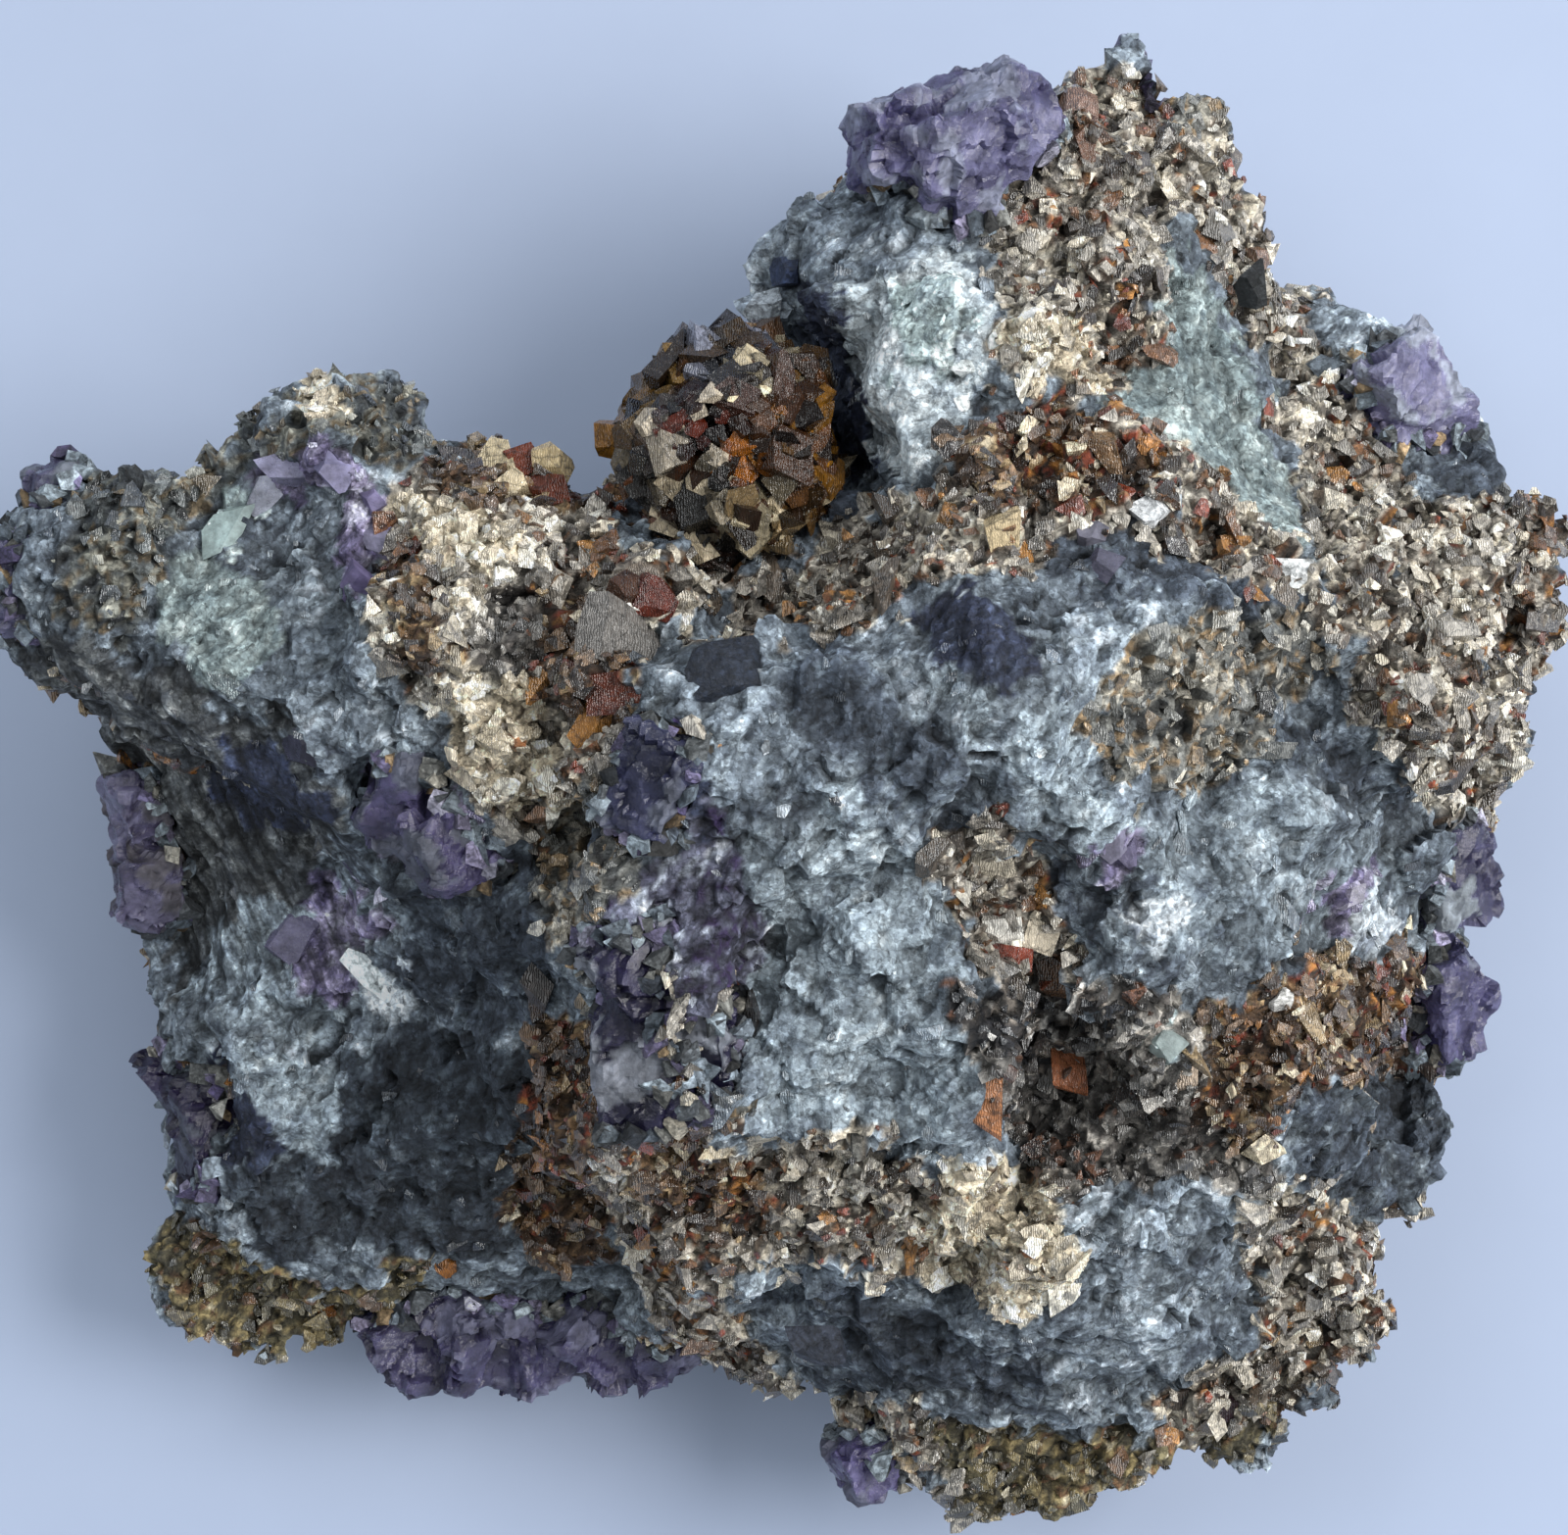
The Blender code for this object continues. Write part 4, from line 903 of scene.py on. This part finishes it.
def joined_grains(name, places, sizes, turns, colours, shapes, random_source):
    """One mesh of many crystals, each with a colour and a gloss of its own."""
    count = len(places)
    which = random_source.integers(0, len(shapes), count)
    glosses = random_source.uniform(0, 1, (count, 3))
    all_points, all_faces, all_colours, all_finishes = [], [], [], []
    start = 0
    for index, (shape, triangles) in enumerate(shapes):
        mine = np.where(which == index)[0]
        local = shape[None] * sizes[mine][:, None]
        turned = np.einsum("nij,nkj->nki", turns[mine], local) + places[mine][:, None]
        offsets = start + np.arange(len(mine)) * len(shape)
        all_points.append(turned.reshape(-1, 3))
        all_faces.append((triangles[None] + offsets[:, None, None]).reshape(-1, 3))
        all_colours.append(np.repeat(colours[mine], len(shape), axis=0))
        all_finishes.append(np.repeat(glosses[mine], len(shape), axis=0))
        start += len(mine) * len(shape)
    points = np.concatenate(all_points)
    points[:, 2] = np.maximum(points[:, 2], 0.0)
    return build_mesh(name, points, np.concatenate(all_faces), np.concatenate(all_colours),
                      np.concatenate(all_finishes))


def grain_material(name, low_rough, high_rough, clear, crumpled, shine):
    wiring = Wiring(bpy.data.materials.new(name))
    cloud = wiring.noise(1100, 5, 0.65)
    flakes = wiring.specks(1250, 0.0009)
    bright = wiring.curve(cloud, [(0.3, 0.5), (0.5, 1.0), (0.7, 1.5)])
    uneven = [(0.0, 1 - 0.45 * crumpled), (1.0, 1 + 0.45 * crumpled)]
    bright = wiring.math("MULTIPLY", bright, wiring.curve(wiring.parts(flakes)[1], uneven))
    # Painted shade: darker along thin crevices at the cell edges.
    crack = wiring.curve(wiring.cracks(480, 0.0016), [(0.0, 0.4), (0.03, 0.85), (0.06, 1.04)])
    bright = wiring.math("MULTIPLY", bright, crack)
    gloss = wiring.parts(wiring.attribute("finish"))[0]
    values = {"Scale": 1300, "Distortion": 9, "Detail": 4, "Vector": wiring.place}
    steps = wiring.node("TexWave", values).outputs["Fac"]
    height = wiring.math("ADD", steps, wiring.noise(500, 3))
    wiring.surface({
        "Base Color": wiring.scaled(wiring.attribute("tint"), bright),
        "Roughness": wiring.curve(gloss, [(0.0, low_rough), (1.0, high_rough)]),
        "IOR": SPHALERITE_IOR,
        "Specular IOR Level": shine,
        "Transmission Weight": clear,
        "Normal": wiring.tilted(wiring.bump(height, 0.00010), flakes, 0.55 * crumpled),
    })
    return wiring.owner


def one_per_cell(points, indices, width, random_source):
    """At most one of the points in each cube of this width, picked at random."""
    mixed = random_source.permutation(indices)
    keys = np.floor(points[mixed] / width + random_source.uniform(0, 1, 3)).astype(np.int64)
    _, first = np.unique(keys, axis=0, return_index=True)
    return mixed[first]


# Pieces


def dress(piece, material, slot, *nodes):
    piece.data.materials.append(material)
    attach(piece, "root")
    if nodes:
        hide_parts(*nodes)


def grain_colours(points, number, random_source):
    """Colours that change in clusters as well as from grain to grain."""
    chance = 0.5 + 0.34 * clouds(points, 5.0, 2, 330)
    chance += random_source.uniform(-0.34, 0.34, len(points))
    shade = random_source.uniform(0.60, 1.44, len(points))
    return picked_colour(number, np.clip(chance, 0, 0.9999)) * shade[:, None]


def make_rock(material, grainy):
    """The rough surface and its grains. Gives back the surface's corners and faces."""
    random_source = np.random.default_rng(SEED)
    points, faces, normals, number, colour, finish = rock_surface()
    for index, (used, own) in enumerate(split_faces(points, faces, PIECE_FACES)):
        piece = build_mesh(f"rock_surface_{index}", points[used], own, colour[used], finish[used])
        dress(piece, material, "rock", "rock")
    shapes = grain_shapes(40, 6, random_source) + grain_shapes(20, 8, random_source)
    chance = mineral_values(number, GRAINY)
    above = points[:, 2] > GRAINS_ABOVE
    for name, width, low, high, share, stray in GRAIN_SIZES:
        taken = np.where(chance > 0.9, chance, chance * (1 if width < 3 else 0)) * share
        open_places = np.where(above & ((taken > 0) | (stray > 0)))[0]
        chosen = one_per_cell(points, open_places, width, random_source)
        luck = random_source.uniform(0, 1, len(chosen))
        chosen = chosen[luck < np.maximum(taken[chosen], stray)]
        size = low + (high - low) * random_source.uniform(0, 1, len(chosen)) ** 1.6
        sizes = size[:, None] * random_source.uniform(0.7, 1.3, (len(chosen), 3))
        sizes[:, 2] *= GRAIN_FLAT
        tints = grain_colours(points[chosen], number[chosen], random_source)
        turns = leaning_turns(normals[chosen], GRAIN_LEAN, random_source)
        centres = points[chosen] - normals[chosen] * (GRAIN_SUNK * sizes[:, 2:])
        order = np.argsort(centres[:, 0])
        parts = math.ceil(len(order) / GRAINS_PER_PIECE)
        for part, own in enumerate(np.array_split(order, parts)):
            piece = joined_grains(f"{name}_{part}", centres[own], sizes[own], turns[own],
                                  tints[own], shapes, random_source)
            dress(piece, grainy, "sphalerite")
    return points, faces


def fluorite_material():
    wiring = Wiring(bpy.data.materials.new("fluorite"))
    tone = wiring.curve(wiring.noise(420, 7, 0.7), [(0.34, 0.5), (0.5, 1.0), (0.66, 1.6)])
    dusty = wiring.parts(wiring.attribute("finish"))[0]
    rough = wiring.curve(dusty, [(0.0, 0.10), (1.0, 0.6)])
    cloud = wiring.noise(900, 5, 0.65)
    wiring.surface({
        "Base Color": wiring.scaled(wiring.attribute("tint"), tone),
        "Roughness": wiring.math("ADD", rough, wiring.curve(cloud, [(0.4, 0.0), (0.65, 0.16)])),
        "IOR": FLUORITE_IOR,
        "Transmission Weight": 0.45,
        "Normal": wiring.bump(cloud, 0.00025),
    })
    absorb = wiring.node("VolumeAbsorption", {"Color": FLUORITE_ABSORBS, "Density": FLUORITE_DENSITY})
    wiring.feed(wiring.tree.nodes["Material Output"].inputs, {"Volume": absorb.outputs[0]})
    return wiring.owner


def fluorite_group(name):
    """Corners, faces, normals, colours and finishes of one group of fluorite crystals."""
    deep, clear, dust = linear(FLUORITES[name][:3])
    dust_share = FLUORITES[name][3]
    points, faces = remeshed(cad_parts[name], FLUORITE_VOXEL)
    edges = edges_of(faces)
    points = averaged(points, edges, 1)
    normals = unit(averaged(corner_normals(points, faces), edges, 2))
    large = cells(points, 5.2, 200)
    small = cells(points, 2.2, 220)
    push = flat_break(points, large, 0.30, 0.22) - 0.15
    push += flat_break(points, small, 0.12, 0.24)
    moved = points + normals * push[:, None]
    # Painted highlight and shade: where the crystal stands proud its colour moves towards the clear
    # one, and where it lies sunk towards the deep one.
    proud_for_painted_light = ((moved - averaged(moved, edges, 8)) * normals).sum(axis=1)
    cloud = 0.45 + 0.45 * clouds(points, 6.0, 3, 240) + 0.5 * (large[1][:, 2] - 0.5)
    cloud = np.clip(cloud + 0.3 * (small[1][:, 2] - 0.5) + 0.7 * proud_for_painted_light, 0, 1)[:, None]
    colour = deep * (1 - cloud) + clear * cloud
    dusty = clouds(points, 5.0, 4, 260) + 0.5 * (small[1][:, 3] - 0.5)
    dusty = np.clip((dusty - (0.5 - dust_share) * 2) * 6, 0, 1)
    dust_tone = 0.7 + 0.6 * lattice_random(np.floor(points / 0.7).astype(np.int64), 270)
    share = (0.85 * dusty)[:, None]
    colour = colour * (1 - share) + dust * dust_tone[:, None] * share
    return moved, faces, normals, colour, np.repeat(dusty[:, None], 3, axis=1)


def make_fluorite(material, crusty, tree):
    random_source = np.random.default_rng(SEED + 3)
    places, normals = [], []
    for name in FLUORITES:
        moved, faces, facing, colour, finish = fluorite_group(name)
        piece = build_mesh(name + "_crystals", moved, faces, colour, finish)
        dress(piece, material, "fluorite", name)
        for index in one_per_cell(moved, np.arange(len(moved)), RIM_SPACING, random_source):
            place, normal = Vector(moved[index]), Vector(facing[index])
            near = tree.find_nearest(place, RIM_REACH)[0]
            above = tree.ray_cast(place + 0.05 * normal, normal, RIM_ROOM)[0]
            if near is not None and above is None:
                places.append(place[:])
                normals.append(normal[:])
    make_rims(crusty, np.array(places), np.array(normals), random_source)


def make_rims(material, places, normals, random_source):
    """The crust of rock grains where the fluorite meets the rock."""
    shapes = grain_shapes(20, 7, random_source)
    size = random_source.uniform(*RIM_SIZES, len(places))
    sizes = size[:, None] * random_source.uniform(0.7, 1.3, (len(size), 3))
    names = list(MINERALS)
    kinds = [names.index(mineral) for mineral in RIM_MINERALS]
    number = random_source.choice(kinds, len(size))
    tints = grain_colours(places, number, random_source)
    turns = leaning_turns(normals, 0.5, random_source)
    piece = joined_grains("fluorite_rims", places, sizes, turns, tints, shapes, random_source)
    dress(piece, material, "rock")


def seen_at(tree, across, down):
    """Where the line of sight through a plan place meets the rock, and its normal there.
    Where it passes the rock by, the nearest place on the rock's edge."""
    eye = Vector((0, 0, EYE_HEIGHT))
    aim = Vector((across / 10 + PLAN_LEFT, PLAN_TOP - down / 10, SIGHT_LEVEL))
    place, normal, _, _ = tree.ray_cast(eye, (aim - eye).normalized())
    if place is None:
        aim = aim * ((EYE_HEIGHT - EDGE_LEVEL) / (EYE_HEIGHT - SIGHT_LEVEL))
        aim.z = EDGE_LEVEL
        place, normal, _, _ = tree.find_nearest(aim)
        place = place + 0.4 * (aim - place)
    return place, normal


def make_crystals(tree, materials):
    random_source = np.random.default_rng(SEED + 4)
    blocks, lumps = block_shapes(16, random_source), grain_shapes(12, 9, random_source)
    for kind, slot in (("sphalerite", "sphalerite"), ("fluorite", "fluorite"), ("rock", "rock")):
        places, ups, aims, sizes, tints = [], [], [], [], []
        for across, down, length, width, height, turn, tint, own_kind in CRYSTALS:
            place, normal = seen_at(tree, across, down)
            if own_kind != kind:
                continue
            up = (normal * 0.6 + Vector((0, 0, 0.4))).normalized()
            places.append(place - up * GRAIN_SUNK * height)
            ups.append(up)
            angle = math.radians(turn)
            aims.append((math.cos(angle), math.sin(angle), 0))
            sizes.append((length, width, height))
            tints.append(tint)
        turns = leaning_turns(np.array(ups), 0.06, random_source, np.array(aims))
        piece = joined_grains(f"{kind}_crystals", np.array(places), np.array(sizes), turns,
                              linear(tints), blocks if kind == "sphalerite" else lumps, random_source)
        dress(piece, materials[kind], slot)


def knob_tints(points, random_source):
    """A colour for each crystal of the knob, by the plan place where it shows."""
    places = plan_of(points)
    spots = np.array([(across, down, reach) for (across, down, reach), _ in KNOB_TINTS], float)
    gaps = np.hypot(places[:, None, 0] - spots[:, 0], places[:, None, 1] - spots[:, 1])
    nearest = (gaps / spots[:, 2]).argmin(axis=1)
    picks = [KNOB_TINTS[i][1][random_source.integers(len(KNOB_TINTS[i][1]))] for i in nearest]
    shade = 0.16 + 1.9 * random_source.uniform(0, 1, len(points)) ** 2.4
    return linear(picks) * shade[:, None]


def make_knob(material):
    random_source = np.random.default_rng(SEED + 5)
    points, faces = remeshed(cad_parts["sphalerite_knob"], KNOB_VOXEL)
    edges = edges_of(faces)
    normals = unit(averaged(corner_normals(points, faces), edges, 3))
    points = averaged(points, edges, 6) - normals * KNOB_DEPTH
    uneven = np.clip(1 + 0.6 * clouds(points, 3.0, 3, 300), 0.4, 1.8)
    tone = linear([KNOB_CORE]) * uneven[:, None]
    finish = np.ones((len(points), 3))
    core = points - normals * CORE_DEPTH
    body = build_mesh("sphalerite_knob_core", core, faces, tone, finish)
    dress(body, material, "sphalerite", "sphalerite_knob")
    shapes = block_shapes(14, random_source) + grain_shapes(14, 8, random_source)
    for name, width, low, high, sunk_for_painted_light in KNOB_CRYSTALS:
        chosen = one_per_cell(points, np.arange(len(points)), width, random_source)
        size = random_source.uniform(low, high, len(chosen))
        sizes = size[:, None] * random_source.uniform(0.75, 1.2, (len(chosen), 3))
        sizes[:, 2] *= KNOB_FLAT
        centres = points[chosen] - normals[chosen] * (sunk_for_painted_light * size)[:, None]
        tints = knob_tints(points[chosen] + normals[chosen], random_source)
        turns = leaning_turns(normals[chosen], KNOB_LEAN, random_source)
        piece = joined_grains(name, centres, sizes, turns, tints, shapes, random_source)
        dress(piece, material, "sphalerite")


def make_floor():
    bpy.ops.mesh.primitive_grid_add(x_subdivisions=8, y_subdivisions=8, size=PAPER_SIZE)
    floor = bpy.context.object
    floor.name = "paper"
    floor.location.z = -PAPER_GAP
    wiring = Wiring(bpy.data.materials.new("paper"))
    ramp = wiring.node("ValToRGB", {0: wiring.noise(14, 6)})
    for element, position, colour in zip(ramp.color_ramp.elements, (0.3, 0.7), PAPER):
        element.position = position
        element.color = (*colour, 1)
    wiring.surface({"Base Color": ramp.outputs[0], "Roughness": 0.8})
    floor.data.materials.append(wiring.owner)


def area_light(name, place, size, energy, colour):
    data = bpy.data.lights.new(name, "AREA")
    data.shape = "DISK"
    data.size = size
    data.energy = energy
    data.color = colour
    light = bpy.data.objects.new(name, data)
    light.location = place
    light.rotation_euler = (-Vector(place)).to_track_quat("-Z", "Y").to_euler()
    bpy.context.scene.collection.objects.link(light)


def make_lights():
    for name, (place, size, energy, colour) in LIGHTS.items():
        area_light(name, place, size, energy, colour)
    world = bpy.data.worlds.new("room")
    wiring = Wiring(world, "Generated")
    aim = {0: wiring.place, 1: [0.5 * v for v in BRIGHT_SIDE]}
    turned = wiring.node("VectorMath", aim, operation="DOT_PRODUCT").outputs["Value"]
    sideways = wiring.math("ADD", turned, 0.5)
    height = wiring.node("SeparateXYZ", {0: wiring.place}).outputs["Z"]
    strength = wiring.math("MULTIPLY", wiring.curve(sideways, ROOM_LIGHT),
                           wiring.curve(height, OVERHEAD))
    background = wiring.tree.nodes["Background"]
    wiring.feed(background.inputs, {"Color": SKY, "Strength": strength})
    bpy.context.scene.world = world


def make_camera():
    data = bpy.data.cameras.new("camera")
    data.sensor_width = SENSOR_WIDTH
    data.lens = SENSOR_WIDTH * (EYE_HEIGHT - SIGHT_LEVEL) / SIGHT_WIDTH
    data.clip_start = 0.01
    camera = bpy.data.objects.new("camera", data)
    camera.location = (0.0, -EYE_BACK * MM, EYE_HEIGHT * MM)
    bpy.context.scene.collection.objects.link(camera)
    bpy.context.scene.camera = camera


def main():
    make_camera()
    make_lights()
    make_floor()
    rocky = rock_material()
    grainy = grain_material("sphalerite_grain", 0.12, 0.45, 0.0, 1.0, 0.36)
    glassy = grain_material("sphalerite_crystal", 0.05, 0.30, 0.10, 0.25, 0.13)
    violet = fluorite_material()
    points, faces = make_rock(rocky, grainy)
    tree = BVHTree.FromPolygons(points.tolist(), faces.tolist())
    make_fluorite(violet, rocky, tree)
    make_crystals(tree, {"sphalerite": glassy, "fluorite": violet, "rock": rocky})
    make_knob(glassy)
    bpy.context.scene.view_settings.view_transform = "Standard"


main()
